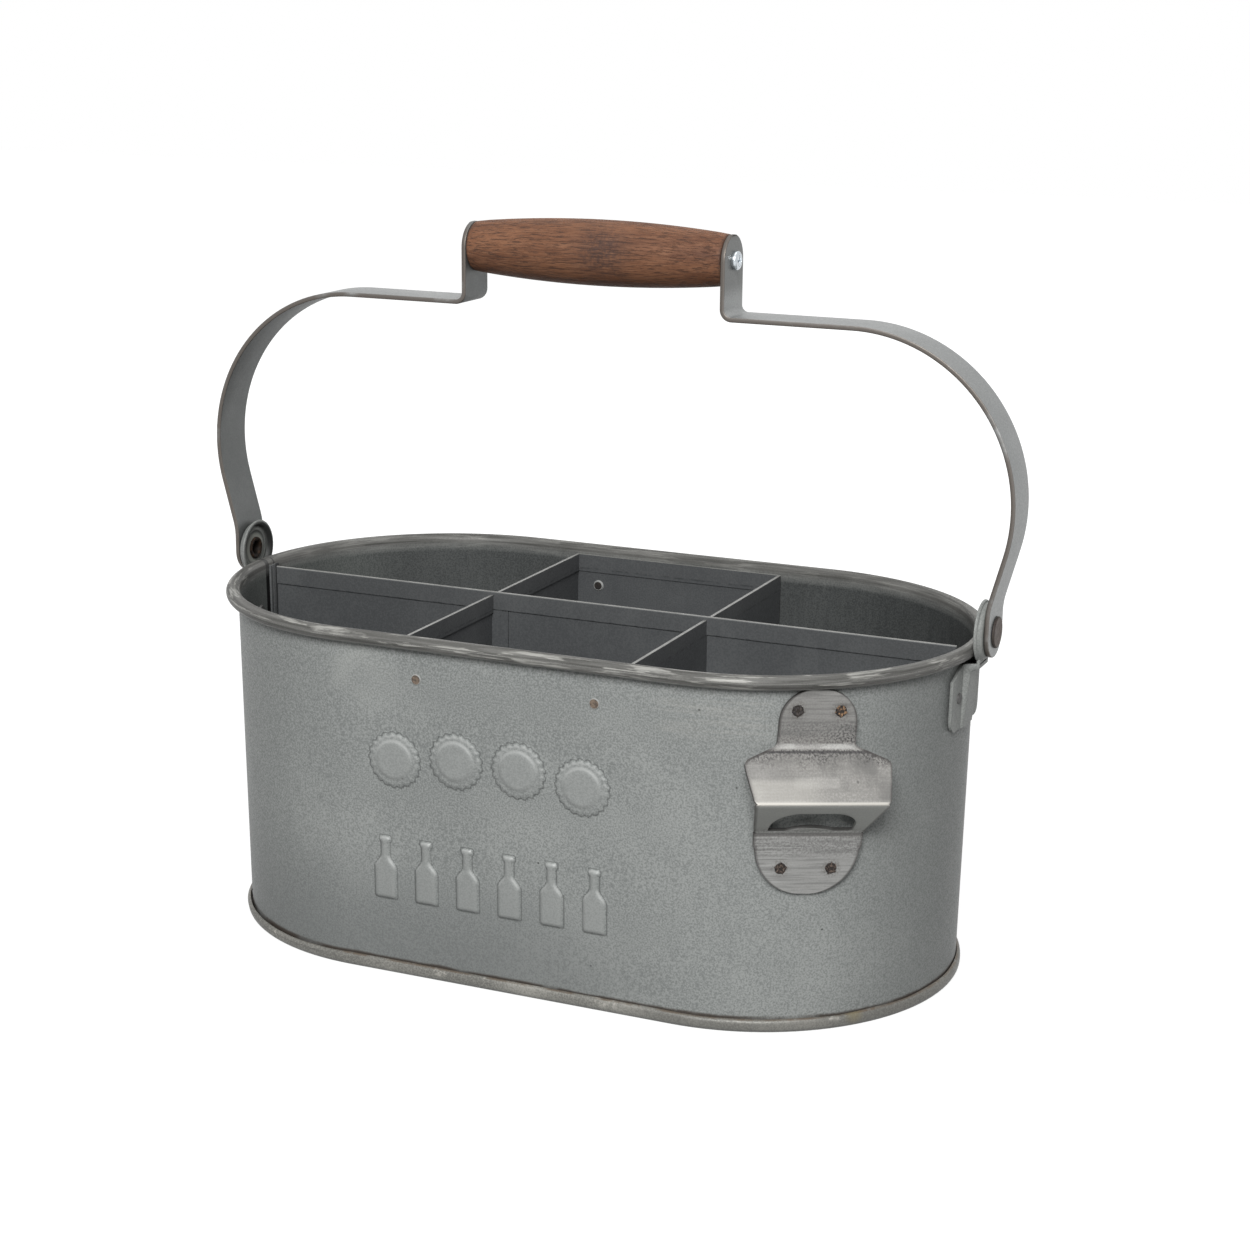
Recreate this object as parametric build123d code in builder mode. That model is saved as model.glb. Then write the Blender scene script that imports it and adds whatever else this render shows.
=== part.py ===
from build123d import *
import os
from math import asin, cos, degrees, hypot, radians, sin

# Bottle caddy: a galvanised tub with straight sides and round ends, six cells, a bail that
# swings on two riveted ears, a turned wooden grip and a pressed bottle opener.
# Millimetres. +Z is up, +X points to the end that carries the opener, -Y is the front with
# the pressed relief. The origin is on the resting plane, under the middle of the tub.

# Turns
QUARTER_TURN = 90
HALF_TURN = 180

# Tub wall, measured outside the sheet at the top
TUB_HEIGHT = 150.0
TUB_LENGTH = 331.0
TUB_WIDTH = 183.0
WALL_LEAN = 2.5
SHEET = 0.7
SHEET_GAP = 0.05

# Rolled rim and its wire
RIM_RADIUS = 3.0
RIM_MOUTH = 0.4
WIRE_GAP = 0.1

# Lock seam inside the left end
SEAM_WIDTH = 7.5
SEAM_PROUD = 0.8
SEAM_OFFSET = 2.0

# Base pan and its folded bead
BEAD_HEIGHT = 5.5
BEAD_PROUD = 2.0
BEAD_ROUND = 1.6
FLOOR_RISE = 3.0
FOOT_FLANGE = 0.6

# Dividers
DIVIDER_END_GAP = 1.3
DIVIDER_DROP = 3.0
CROSS_DROP = 4.6
CELL_HALF_WIDTH = 51.0
HEM_DEPTH = 8.0
HEM_ROUND_SHARE = 0.9
TAB_WIDTH = 8.5
FOLD_RADIUS = 1.4
FLOOR_GAP = 0.3

# Flush rivets of the cells, the ears and the opener
RIVET_SHANK_RADIUS = 1.6
RIVET_HEAD_RADIUS = 2.3
RIVET_HEAD_HEIGHT = 0.5
RIVET_TAIL_RADIUS = 2.6
RIVET_TAIL_HEIGHT = 0.8
RIVET_FIT = 0.05
RIVET_EDGE_TAPER = 30
CELL_RIVET_SPREAD = 40.0
CELL_RIVET_DROP = 19.0

# Relief on the front: a row of plain bottles under an arched row of crown caps
RELIEF_HEIGHT = 0.9
RELIEF_MIDDLE = -8.0
RELIEF_TAPER = 30
CAP_RADIUS = 12.5
CAP_FLUTE_DEPTH = 0.9
CAP_SKIRT_HEIGHT = 0.5
CAP_CROWN_RADIUS = 8.8
CAP_FLUTES = 21
CAP_COUNT = 4
CAP_PITCH = 28.5
CAP_ROW_DROP = 55.0
CAP_ROW_RISE = 3.5
BOTTLE_COUNT = 6
BOTTLE_PITCH = 19.2
BOTTLE_FOOT = 33.0
BOTTLE_BODY_HALF = 5.4
BOTTLE_BODY_HEIGHT = 14.5
BOTTLE_NECK_HALF = 2.1
BOTTLE_SHOULDER_HEIGHT = 5.0
BOTTLE_NECK_HEIGHT = 6.5
BOTTLE_LIP_HALF = 2.8
BOTTLE_LIP_HEIGHT = 2.2
BOTTLE_FOOT_ROUND = 1.0
BOTTLE_SHOULDER_ROUND = 1.5

# Bail pivot and ear brackets
PIVOT_RISE = 4.4
EAR_PLATE = 1.3
EAR_RADIUS = 13.3
EAR_GAP = 0.35
EAR_BOSS_RADIUS = 11.0
EAR_BOSS_RISE = 2.0
CHANNEL_HALF = 7.5
CHANNEL_TOP_DROP = 7.7
CHANNEL_LENGTH = 26.0
CHANNEL_DEPTH = 0.8
CHANNEL_SHELF_DEPTH = 2.5
CHANNEL_SHELF_DROP = 4.3
CHANNEL_RUNOUT = 1.6
WING_REACH = 19.5
WING_TOP_DROP = 8.0
WING_SLOPE_DROP = 5.4
WING_LENGTH = 27.5
WING_ROUND = 5.5
WING_TIP_ROUND = 1.2
WING_RIVET_OUT = 11.0
WING_RIVET_RISE = 13.5

# Pivot rivets
PIVOT_SHANK_RADIUS = 3.0
PIVOT_HEAD_RADIUS = 6.5
PIVOT_HEAD_HEIGHT = 0.9
PIVOT_CLINCH_RADIUS = 4.8
PIVOT_CLINCH_HEIGHT = 1.2
PIVOT_HOLLOW_RADIUS = 2.0
PIVOT_HOLLOW_DEPTH = 3.0
PIVOT_EDGE_ROUND = 0.5
PIVOT_FIT = 0.05
RUN_GAP = 0.3

# Bail straps
STRAP_WIDTH = 21.0
STRAP_THICKNESS = 2.0
STRAP_FLARE = 15
EAR_BEND_RADIUS = 31.0
SHOULDER_RADIUS = 68.5
BAIL_BULGE = 8.4
ARM_RISE = 119.5
TAB_BEND_RADIUS = 5.0

# Grip and its screws
GRIP_RISE = 143.6
GRIP_LENGTH = 116.0
GRIP_MIDDLE_RADIUS = 13.8
GRIP_END_RADIUS = 10.6
GRIP_EDGE = 1.2
SCREW_SHANK_RADIUS = 2.0
SCREW_LENGTH = 25.0
SCREW_HEAD_RADIUS = 4.0
SCREW_HEAD_HEIGHT = 2.4
SCREW_EDGE = 1.0
SCREW_SLOT_LENGTH = 4.4
SCREW_SLOT_WIDTH = 0.9
SCREW_SLOT_DEPTH = 1.3
SCREW_FIT = 0.05

# Bottle opener, from outside its plate
OPENER_BEARING = 34.8
OPENER_TILT = 3
OPENER_PLATE = 1.6
OPENER_TOP_DROP = 6.4
OPENER_MIDDLE_DROP = 42.6
OPENER_NECK_LENGTH = 23.1
OPENER_NECK_HALF = 15.6
OPENER_SHOULDER_DROP = 4.9
OPENER_SHOULDER_HALF = 30.1
OPENER_HOOD_DROP = 17.9
OPENER_RIDGE_HALF = 27.2
OPENER_RIDGE_OUT = 18.5
OPENER_WEB_DROP = 18.0
OPENER_LOWER_HALF = 22.3
OPENER_LOWER_LENGTH = 25.1
OPENER_BOTTOM_ROUND = 19.0
OPENER_CORNER_ROUND = 1.2
OPENER_TOP_ROUND = 12.0
OPENER_BEND = 2.6
OPENER_TOP_RIVET_SPREAD = 8.7
OPENER_TOP_RIVET_DROP = 8.4
OPENER_LOW_RIVET_SPREAD = 10.3
OPENER_LOW_RIVET_RISE = 10.8
MOUTH_WIDTH = 34.6
MOUTH_HEIGHT = 15.4
MOUTH_START = 2.8
MOUTH_ROUND = 11.0
MOUTH_CORNER = 2.0
TONGUE_HALF = 8.5
TONGUE_RISE = 3.4

# Overrun of a cut past the surface it leaves
OVERRUN = 2.0

# Places that follow from the sizes above
STRAIGHT_HALF = (TUB_LENGTH - TUB_WIDTH) / 2
TOP_RADIUS = TUB_WIDTH / 2
FOOT_RADIUS = TOP_RADIUS - WALL_LEAN
LEAN_RISE = hypot(WALL_LEAN, TUB_HEIGHT)
RIM_CENTRE_HEIGHT = TUB_HEIGHT - RIM_RADIUS
DIVIDER_TOP = TUB_HEIGHT - DIVIDER_DROP
DIVIDER_HALF_LENGTH = STRAIGHT_HALF + FOOT_RADIUS - SHEET - DIVIDER_END_GAP
CROSS_TOP = TUB_HEIGHT - CROSS_DROP
CELL_RIVET_HEIGHT = TUB_HEIGHT - CELL_RIVET_DROP
CAP_ROW_HEIGHT = TUB_HEIGHT - CAP_ROW_DROP
PIVOT_HEIGHT = TUB_HEIGHT + PIVOT_RISE
CHANNEL_TOP = TUB_HEIGHT - CHANNEL_TOP_DROP
CHANNEL_SHELF = CHANNEL_TOP - CHANNEL_SHELF_DROP
CHANNEL_BOTTOM = CHANNEL_TOP - CHANNEL_LENGTH
WING_TOP = TUB_HEIGHT - WING_TOP_DROP
WING_BOTTOM = WING_TOP - WING_LENGTH
WING_RIVET_HEIGHT = WING_BOTTOM + WING_RIVET_RISE
OPENER_TOP = TUB_HEIGHT - OPENER_TOP_DROP
OPENER_MIDDLE = OPENER_TOP - OPENER_MIDDLE_DROP
OPENER_UPPER_FOLD = OPENER_TOP - OPENER_NECK_LENGTH
OPENER_SHOULDER_HEIGHT = OPENER_UPPER_FOLD - OPENER_SHOULDER_DROP
OPENER_RIDGE_HEIGHT = OPENER_UPPER_FOLD - OPENER_HOOD_DROP
OPENER_LOWER_FOLD = OPENER_RIDGE_HEIGHT - OPENER_WEB_DROP
OPENER_BOTTOM = OPENER_LOWER_FOLD - OPENER_LOWER_LENGTH
OPENER_TOP_RIVET_HEIGHT = OPENER_TOP - OPENER_TOP_RIVET_DROP
OPENER_LOW_RIVET_HEIGHT = OPENER_BOTTOM + OPENER_LOW_RIVET_RISE
END_AXIS = Axis((STRAIGHT_HALF, 0, 0), (0, 0, 1))
SEAM_AXIS = Axis((-STRAIGHT_HALF, 0, 0), (0, 0, 1))
SECTION_PLANE = Plane(origin=(STRAIGHT_HALF, 0, 0), x_dir=(0, -1, 0), z_dir=(-1, 0, 0))


def wall_radius(height):
    """Distance of the wall's outer face from the tub's spine at a height."""
    return FOOT_RADIUS + WALL_LEAN * height / TUB_HEIGHT


def carry_round(section):
    """Carry a section along the front, round the right end, and the same again behind."""
    side = extrude(section, amount=2 * STRAIGHT_HALF)
    end = revolve(section, axis=END_AXIS, revolution_arc=HALF_TURN)
    add([side.rotate(Axis.Z, HALF_TURN), end.rotate(Axis.Z, HALF_TURN)])


def wall_plane(bearing, height, tilt=0):
    """A plane that touches the wall's outer face at a bearing from the front, seen from
    above. Its x runs along the wall to the right, its y up the wall and its z outwards."""
    out = Vector(sin(radians(bearing)), -cos(radians(bearing)), 0)
    along = Vector(cos(radians(bearing)), sin(radians(bearing)), 0)
    lean = out * (WALL_LEAN / LEAN_RISE) + Vector(0, 0, TUB_HEIGHT / LEAN_RISE)
    face = along.cross(lean)
    spine = Vector(STRAIGHT_HALF if bearing else 0, 0, height)
    tilted = along.rotate(Axis((0, 0, 0), face), -tilt)
    return Plane(origin=spine + out * wall_radius(height), x_dir=tilted, z_dir=face)


def mirrored_plane(plane):
    """The same plane on the tub's other end."""
    origin = Vector(-plane.origin.X, plane.origin.Y, plane.origin.Z)
    return Plane(origin=origin, z_dir=Vector(-plane.z_dir.X, plane.z_dir.Y, plane.z_dir.Z))


def spine_stadium(radius):
    """The tub's plan at a distance from its spine."""
    SlotCenterToCenter(center_separation=2 * STRAIGHT_HALF, height=2 * radius)


# Where rivets pass through the wall: plane, places on it and the depth behind its face
RIM_CENTRE_OUT = wall_radius(RIM_CENTRE_HEIGHT) - SHEET + RIM_RADIUS
CELL_RIVET_PLANE = wall_plane(0, CELL_RIVET_HEIGHT)
CELL_RIVET_PLACES = [(-CELL_RIVET_SPREAD, 0), (CELL_RIVET_SPREAD, 0)]
REAR_RIVET_PLANE = Plane(
    origin=CELL_RIVET_PLANE.origin * -1 + Vector(0, 0, 2 * CELL_RIVET_PLANE.origin.Z),
    x_dir=(-1, 0, 0),
    z_dir=Vector(0, -CELL_RIVET_PLANE.z_dir.Y, CELL_RIVET_PLANE.z_dir.Z),
)
WING_BEARING = degrees(asin(WING_RIVET_OUT / wall_radius(WING_RIVET_HEIGHT)))
WING_PLANES = [
    wall_plane(QUARTER_TURN - WING_BEARING, WING_RIVET_HEIGHT),
    wall_plane(QUARTER_TURN + WING_BEARING, WING_RIVET_HEIGHT),
]
OPENER_FACE = wall_plane(OPENER_BEARING, OPENER_MIDDLE, OPENER_TILT)
OPENER_RIVET_PLACES = [
    (-OPENER_TOP_RIVET_SPREAD, OPENER_TOP_RIVET_HEIGHT - OPENER_MIDDLE),
    (OPENER_TOP_RIVET_SPREAD, OPENER_TOP_RIVET_HEIGHT - OPENER_MIDDLE),
    (-OPENER_LOW_RIVET_SPREAD, OPENER_LOW_RIVET_HEIGHT - OPENER_MIDDLE),
    (OPENER_LOW_RIVET_SPREAD, OPENER_LOW_RIVET_HEIGHT - OPENER_MIDDLE),
]
# The opener is flat and tilted and the wall behind it is round, so its tails stand deeper.
OPENER_TAIL_SHIFT = (OPENER_MIDDLE - OPENER_LOW_RIVET_HEIGHT) * sin(radians(OPENER_TILT))
OPENER_TAIL_REACH = OPENER_LOW_RIVET_SPREAD + RIVET_TAIL_RADIUS + OPENER_TAIL_SHIFT
OPENER_TAIL_RADIUS = wall_radius(OPENER_LOW_RIVET_HEIGHT) - SHEET
OPENER_TAIL_DEPTH = SHEET + OPENER_TAIL_REACH**2 / (2 * OPENER_TAIL_RADIUS)


def cut_holes(plane, places, radius, depth, reach):
    """Cut round holes from a depth behind a plane to a reach outside it."""
    with BuildSketch(plane.offset(-depth)) as circles:
        with Locations(*places):
            Circle(radius)
    extrude(circles.sketch, amount=depth + reach, mode=Mode.SUBTRACT)


def cut_rivet_holes(plane, places, depth, reach):
    """Cut the holes of a row of flush rivets."""
    cut_holes(plane, places, RIVET_SHANK_RADIUS + RIVET_FIT, depth + OVERRUN, reach + OVERRUN)


def add_discs(plane, places, radius, height, taper=0):
    """Round discs that stand on a plane, or hang behind it where the height is negative."""
    with BuildSketch(plane) as circles:
        with Locations(*places):
            Circle(radius)
    extrude(circles.sketch, amount=height, taper=taper)


def add_rivets(plane, places, depth, reach):
    """Flush rivets with their heads at the reach outside a plane and tails at the depth behind."""
    tail_foot = plane.offset(-depth - SHEET_GAP)
    head_foot = plane.offset(reach + SHEET_GAP)
    add_discs(tail_foot, places, RIVET_SHANK_RADIUS, depth + reach + 2 * SHEET_GAP)
    add_discs(head_foot, places, RIVET_HEAD_RADIUS, RIVET_HEAD_HEIGHT, RIVET_EDGE_TAPER)
    add_discs(tail_foot, places, RIVET_TAIL_RADIUS, -RIVET_TAIL_HEIGHT, RIVET_EDGE_TAPER)


def finish(piece, name):
    """Name a finished piece and write its file."""
    piece.part.label = name
    export_step(piece.part, f"parts/{name}.step")


os.makedirs("parts", exist_ok=True)

# Tub wall with its rolled rim, foot flange, lock seam and relief
wall_foot = SHEET + SHEET_GAP
with BuildPart() as tub_shell:
    with BuildSketch(SECTION_PLANE) as wall_section:
        with BuildLine():
            Polyline(
                (wall_radius(wall_foot) - SHEET, wall_foot),
                (wall_radius(wall_foot) + FOOT_FLANGE, wall_foot),
                (wall_radius(wall_foot) + FOOT_FLANGE, wall_foot + SHEET),
                (wall_radius(wall_foot + SHEET), wall_foot + SHEET),
                (wall_radius(RIM_CENTRE_HEIGHT), RIM_CENTRE_HEIGHT),
                (wall_radius(RIM_CENTRE_HEIGHT) - SHEET, RIM_CENTRE_HEIGHT),
                close=True,
            )
        make_face()
        with Locations((RIM_CENTRE_OUT, RIM_CENTRE_HEIGHT)):
            Circle(RIM_RADIUS)
            Circle(RIM_RADIUS - SHEET, mode=Mode.SUBTRACT)
        with Locations((wall_radius(RIM_CENTRE_HEIGHT), RIM_CENTRE_HEIGHT - RIM_RADIUS)):
            Rectangle(RIM_MOUTH, RIM_RADIUS - SHEET, align=Align.MIN, mode=Mode.SUBTRACT)
    carry_round(wall_section.sketch)

    # The seam is a strip of folded sheet on the inside of the left end.
    seam_half = degrees(SEAM_WIDTH / 2 / TOP_RADIUS)
    seam_start = radians(degrees(SEAM_OFFSET / TOP_RADIUS) + seam_half)
    seam_plane = Plane(
        origin=(-STRAIGHT_HALF, 0, 0),
        x_dir=(-cos(seam_start), sin(seam_start), 0),
        z_dir=(sin(seam_start), cos(seam_start), 0),
    )
    seam_low = FLOOR_RISE + 2 * SHEET
    with BuildSketch(seam_plane) as seam_section:
        with BuildLine():
            Polyline(
                (wall_radius(seam_low) - SHEET / 2, seam_low),
                (wall_radius(RIM_CENTRE_HEIGHT) - SHEET / 2, RIM_CENTRE_HEIGHT),
                (wall_radius(RIM_CENTRE_HEIGHT) - SHEET - SEAM_PROUD, RIM_CENTRE_HEIGHT),
                (wall_radius(seam_low) - SHEET - SEAM_PROUD, seam_low),
                close=True,
            )
        make_face()
    revolve(seam_section.sketch, axis=SEAM_AXIS, revolution_arc=2 * seam_half)

    # Crown caps stand in an arched row: a fluted skirt under a round crown.
    crest = Vector(CAP_RADIUS, 0)
    valley = Vector(CAP_RADIUS - CAP_FLUTE_DEPTH, 0)
    with BuildSketch() as cap_skirt:
        with BuildLine():
            for flute in range(CAP_FLUTES):
                start_turn = flute * 2 * HALF_TURN / CAP_FLUTES
                half_step = HALF_TURN / CAP_FLUTES
                ThreePointArc(
                    valley.rotate(Axis.Z, start_turn),
                    crest.rotate(Axis.Z, start_turn + half_step),
                    valley.rotate(Axis.Z, start_turn + 2 * half_step),
                )
        make_face()
    cap_plane = wall_plane(0, CAP_ROW_HEIGHT)
    row_half = CAP_PITCH * (CAP_COUNT - 1) / 2
    cap_places = []
    for cap in range(CAP_COUNT):
        share = 2 * cap / (CAP_COUNT - 1) - 1
        cap_places.append((RELIEF_MIDDLE + share * row_half, CAP_ROW_RISE * (1 - share**2)))
    with BuildSketch(cap_plane.offset(-SHEET / 2)) as cap_row:
        with Locations(*cap_places):
            add(cap_skirt.sketch)
    extrude(cap_row.sketch, amount=SHEET / 2 + CAP_SKIRT_HEIGHT)
    skirt_top = cap_plane.offset(CAP_SKIRT_HEIGHT)
    crown_height = RELIEF_HEIGHT - CAP_SKIRT_HEIGHT
    add_discs(skirt_top, cap_places, CAP_CROWN_RADIUS, crown_height, RELIEF_TAPER)

    # Plain bottles stand in a straight row below.
    neck_foot = BOTTLE_BODY_HEIGHT + BOTTLE_SHOULDER_HEIGHT
    lip_foot = neck_foot + BOTTLE_NECK_HEIGHT
    lip_top = lip_foot + BOTTLE_LIP_HEIGHT
    with BuildSketch() as bottle:
        with BuildLine():
            Line((0, 0), (BOTTLE_BODY_HALF, 0))
            Line((BOTTLE_BODY_HALF, 0), (BOTTLE_BODY_HALF, BOTTLE_BODY_HEIGHT))
            Line((BOTTLE_BODY_HALF, BOTTLE_BODY_HEIGHT), (BOTTLE_NECK_HALF, neck_foot))
            Line((BOTTLE_NECK_HALF, neck_foot), (BOTTLE_NECK_HALF, lip_foot))
            Line((BOTTLE_NECK_HALF, lip_foot), (BOTTLE_LIP_HALF, lip_foot))
            Line((BOTTLE_LIP_HALF, lip_foot), (BOTTLE_LIP_HALF, lip_top))
            Line((BOTTLE_LIP_HALF, lip_top), (0, lip_top))
            mirror(about=Plane.YZ)
        make_face()
        fillet(bottle.vertices().group_by(Axis.Y)[0], radius=BOTTLE_FOOT_ROUND)
        shoulders = bottle.vertices().filter_by_position(Axis.Y, BOTTLE_BODY_HEIGHT, neck_foot)
        fillet(shoulders, radius=BOTTLE_SHOULDER_ROUND)
    bottle_plane = wall_plane(0, BOTTLE_FOOT)
    bottle_start = RELIEF_MIDDLE - BOTTLE_PITCH * (BOTTLE_COUNT - 1) / 2
    bottle_places = []
    for place in range(BOTTLE_COUNT):
        bottle_places.append((bottle_start + place * BOTTLE_PITCH, 0))
    with BuildSketch(bottle_plane.offset(-SHEET / 2)) as bottle_row:
        with Locations(*bottle_places):
            add(bottle.sketch)
    extrude(bottle_row.sketch, amount=SHEET / 2 + RELIEF_HEIGHT)

    # Rivet holes: front and rear cell frames, both ears and the opener.
    cut_rivet_holes(CELL_RIVET_PLANE, CELL_RIVET_PLACES, SHEET, 0)
    cut_rivet_holes(REAR_RIVET_PLANE, CELL_RIVET_PLACES, SHEET, 0)
    for wing_plane in WING_PLANES:
        cut_rivet_holes(wing_plane, [(0, 0)], SHEET, 0)
        cut_rivet_holes(mirrored_plane(wing_plane), [(0, 0)], SHEET, 0)
    cut_rivet_holes(OPENER_FACE, OPENER_RIVET_PLACES, OPENER_TAIL_DEPTH, 0)
finish(tub_shell, "tub_shell")

# Wire inside the rolled rim
with BuildPart() as rim_wire:
    with BuildSketch(SECTION_PLANE) as wire_section:
        with Locations((RIM_CENTRE_OUT, RIM_CENTRE_HEIGHT)):
            Circle(RIM_RADIUS - SHEET - WIRE_GAP)
    carry_round(wire_section.sketch)
finish(rim_wire, "rim_wire")

# Floor pan: its edge goes down inside the wall, under its flange and up outside as the bead
pan_leg = wall_radius(wall_foot) - 2 * SHEET - SHEET_GAP
bead_out = FOOT_RADIUS + BEAD_PROUD
bead_lip = wall_radius(BEAD_HEIGHT) + SHEET_GAP
with BuildPart() as base_pan:
    with BuildSketch(SECTION_PLANE) as bead_section:
        with BuildLine():
            Polyline(
                (pan_leg, 0),
                (bead_out, 0),
                (bead_out, BEAD_HEIGHT),
                (bead_lip, BEAD_HEIGHT),
                (bead_lip, BEAD_HEIGHT - SHEET),
                (bead_out - SHEET, BEAD_HEIGHT - SHEET),
                (bead_out - SHEET, SHEET),
                (pan_leg + SHEET, SHEET),
                (pan_leg + SHEET, FLOOR_RISE + SHEET),
                (pan_leg, FLOOR_RISE + SHEET),
                close=True,
            )
        make_face()
        fillet(bead_section.vertices().group_by(Axis.X)[-2], radius=BEAD_ROUND - SHEET)
        fillet(bead_section.vertices().group_by(Axis.X)[-1], radius=BEAD_ROUND)
    carry_round(bead_section.sketch)
    with BuildSketch(Plane.XY.offset(FLOOR_RISE)) as floor_plan:
        spine_stadium(pan_leg + SHEET / 2)
    extrude(floor_plan.sketch, amount=SHEET)
finish(base_pan, "base_pan")

# Long divider: a plate with its top edge hemmed over to the front
floor_top = FLOOR_RISE + SHEET
divider_foot = floor_top + FLOOR_GAP
with BuildPart() as long_divider:
    with BuildSketch(Plane.YZ) as divider_section:
        with Locations((0, divider_foot)):
            Rectangle(SHEET, DIVIDER_TOP - divider_foot, align=(Align.CENTER, Align.MIN))
        with Locations((SHEET / 2, DIVIDER_TOP)):
            Rectangle(2 * SHEET, HEM_DEPTH, align=Align.MAX)
        fillet(divider_section.vertices().group_by(Axis.Y)[-1], radius=HEM_ROUND_SHARE * SHEET)
    extrude(divider_section.sketch, amount=DIVIDER_HALF_LENGTH, both=True)
finish(long_divider, "long_divider")


def cell_plan(height, outer_half, inset, depth):
    """The folded plate's plan at a height: two sides and a back that follows the wall."""
    back = wall_radius(height) - SHEET - SHEET_GAP - inset
    with BuildSketch(Plane.XY.offset(height)) as plan:
        with Locations((0, -frame_front)):
            Rectangle(2 * outer_half, back - frame_front, align=(Align.CENTER, Align.MAX))
        fillet(plan.vertices().group_by(Axis.Y)[0], radius=FOLD_RADIUS - inset)
        with Locations((0, -frame_front)):
            Rectangle(
                2 * (outer_half - depth),
                back - depth - frame_front,
                align=(Align.CENTER, Align.MAX),
                mode=Mode.SUBTRACT,
            )
    return plan.sketch


# Cell frames: one folded plate each, hemmed along the top, with two tabs on the long divider
tab_face = SHEET / 2 + SHEET_GAP
frame_front = tab_face + SHEET
with BuildPart() as front_cell_frame:
    side_half = CELL_HALF_WIDTH + SHEET / 2
    plate_foot = cell_plan(divider_foot, side_half, 0, SHEET)
    plate_top = cell_plan(CROSS_TOP, side_half, 0, SHEET)
    loft([plate_foot, plate_top], ruled=True)
    hem_half = side_half - SHEET
    hem_foot = cell_plan(CROSS_TOP - HEM_DEPTH, hem_half, SHEET, SHEET)
    hem_top = cell_plan(CROSS_TOP, hem_half, SHEET, SHEET)
    loft([hem_foot, hem_top], ruled=True)
    for side in (-1, 1):
        with BuildSketch(Plane.XY.offset(divider_foot)) as tab_plan:
            with Locations((side * (side_half - TAB_WIDTH / 2), -tab_face)):
                Rectangle(TAB_WIDTH, SHEET, align=(Align.CENTER, Align.MAX))
        extrude(tab_plan.sketch, amount=DIVIDER_TOP - HEM_DEPTH - FLOOR_GAP - divider_foot)
    cut_rivet_holes(CELL_RIVET_PLANE, CELL_RIVET_PLACES, 2 * SHEET + SHEET_GAP, 0)
finish(front_cell_frame, "front_cell_frame")

with BuildPart() as rear_cell_frame:
    mirror(front_cell_frame.part, about=Plane.XZ)
finish(rear_cell_frame, "rear_cell_frame")

with BuildPart() as front_cell_rivets:
    add_rivets(CELL_RIVET_PLANE, CELL_RIVET_PLACES, 2 * SHEET + SHEET_GAP, 0)
finish(front_cell_rivets, "front_cell_rivets")

with BuildPart() as rear_cell_rivets:
    mirror(front_cell_rivets.part, about=Plane.XZ)
finish(rear_cell_rivets, "rear_cell_rivets")

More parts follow.
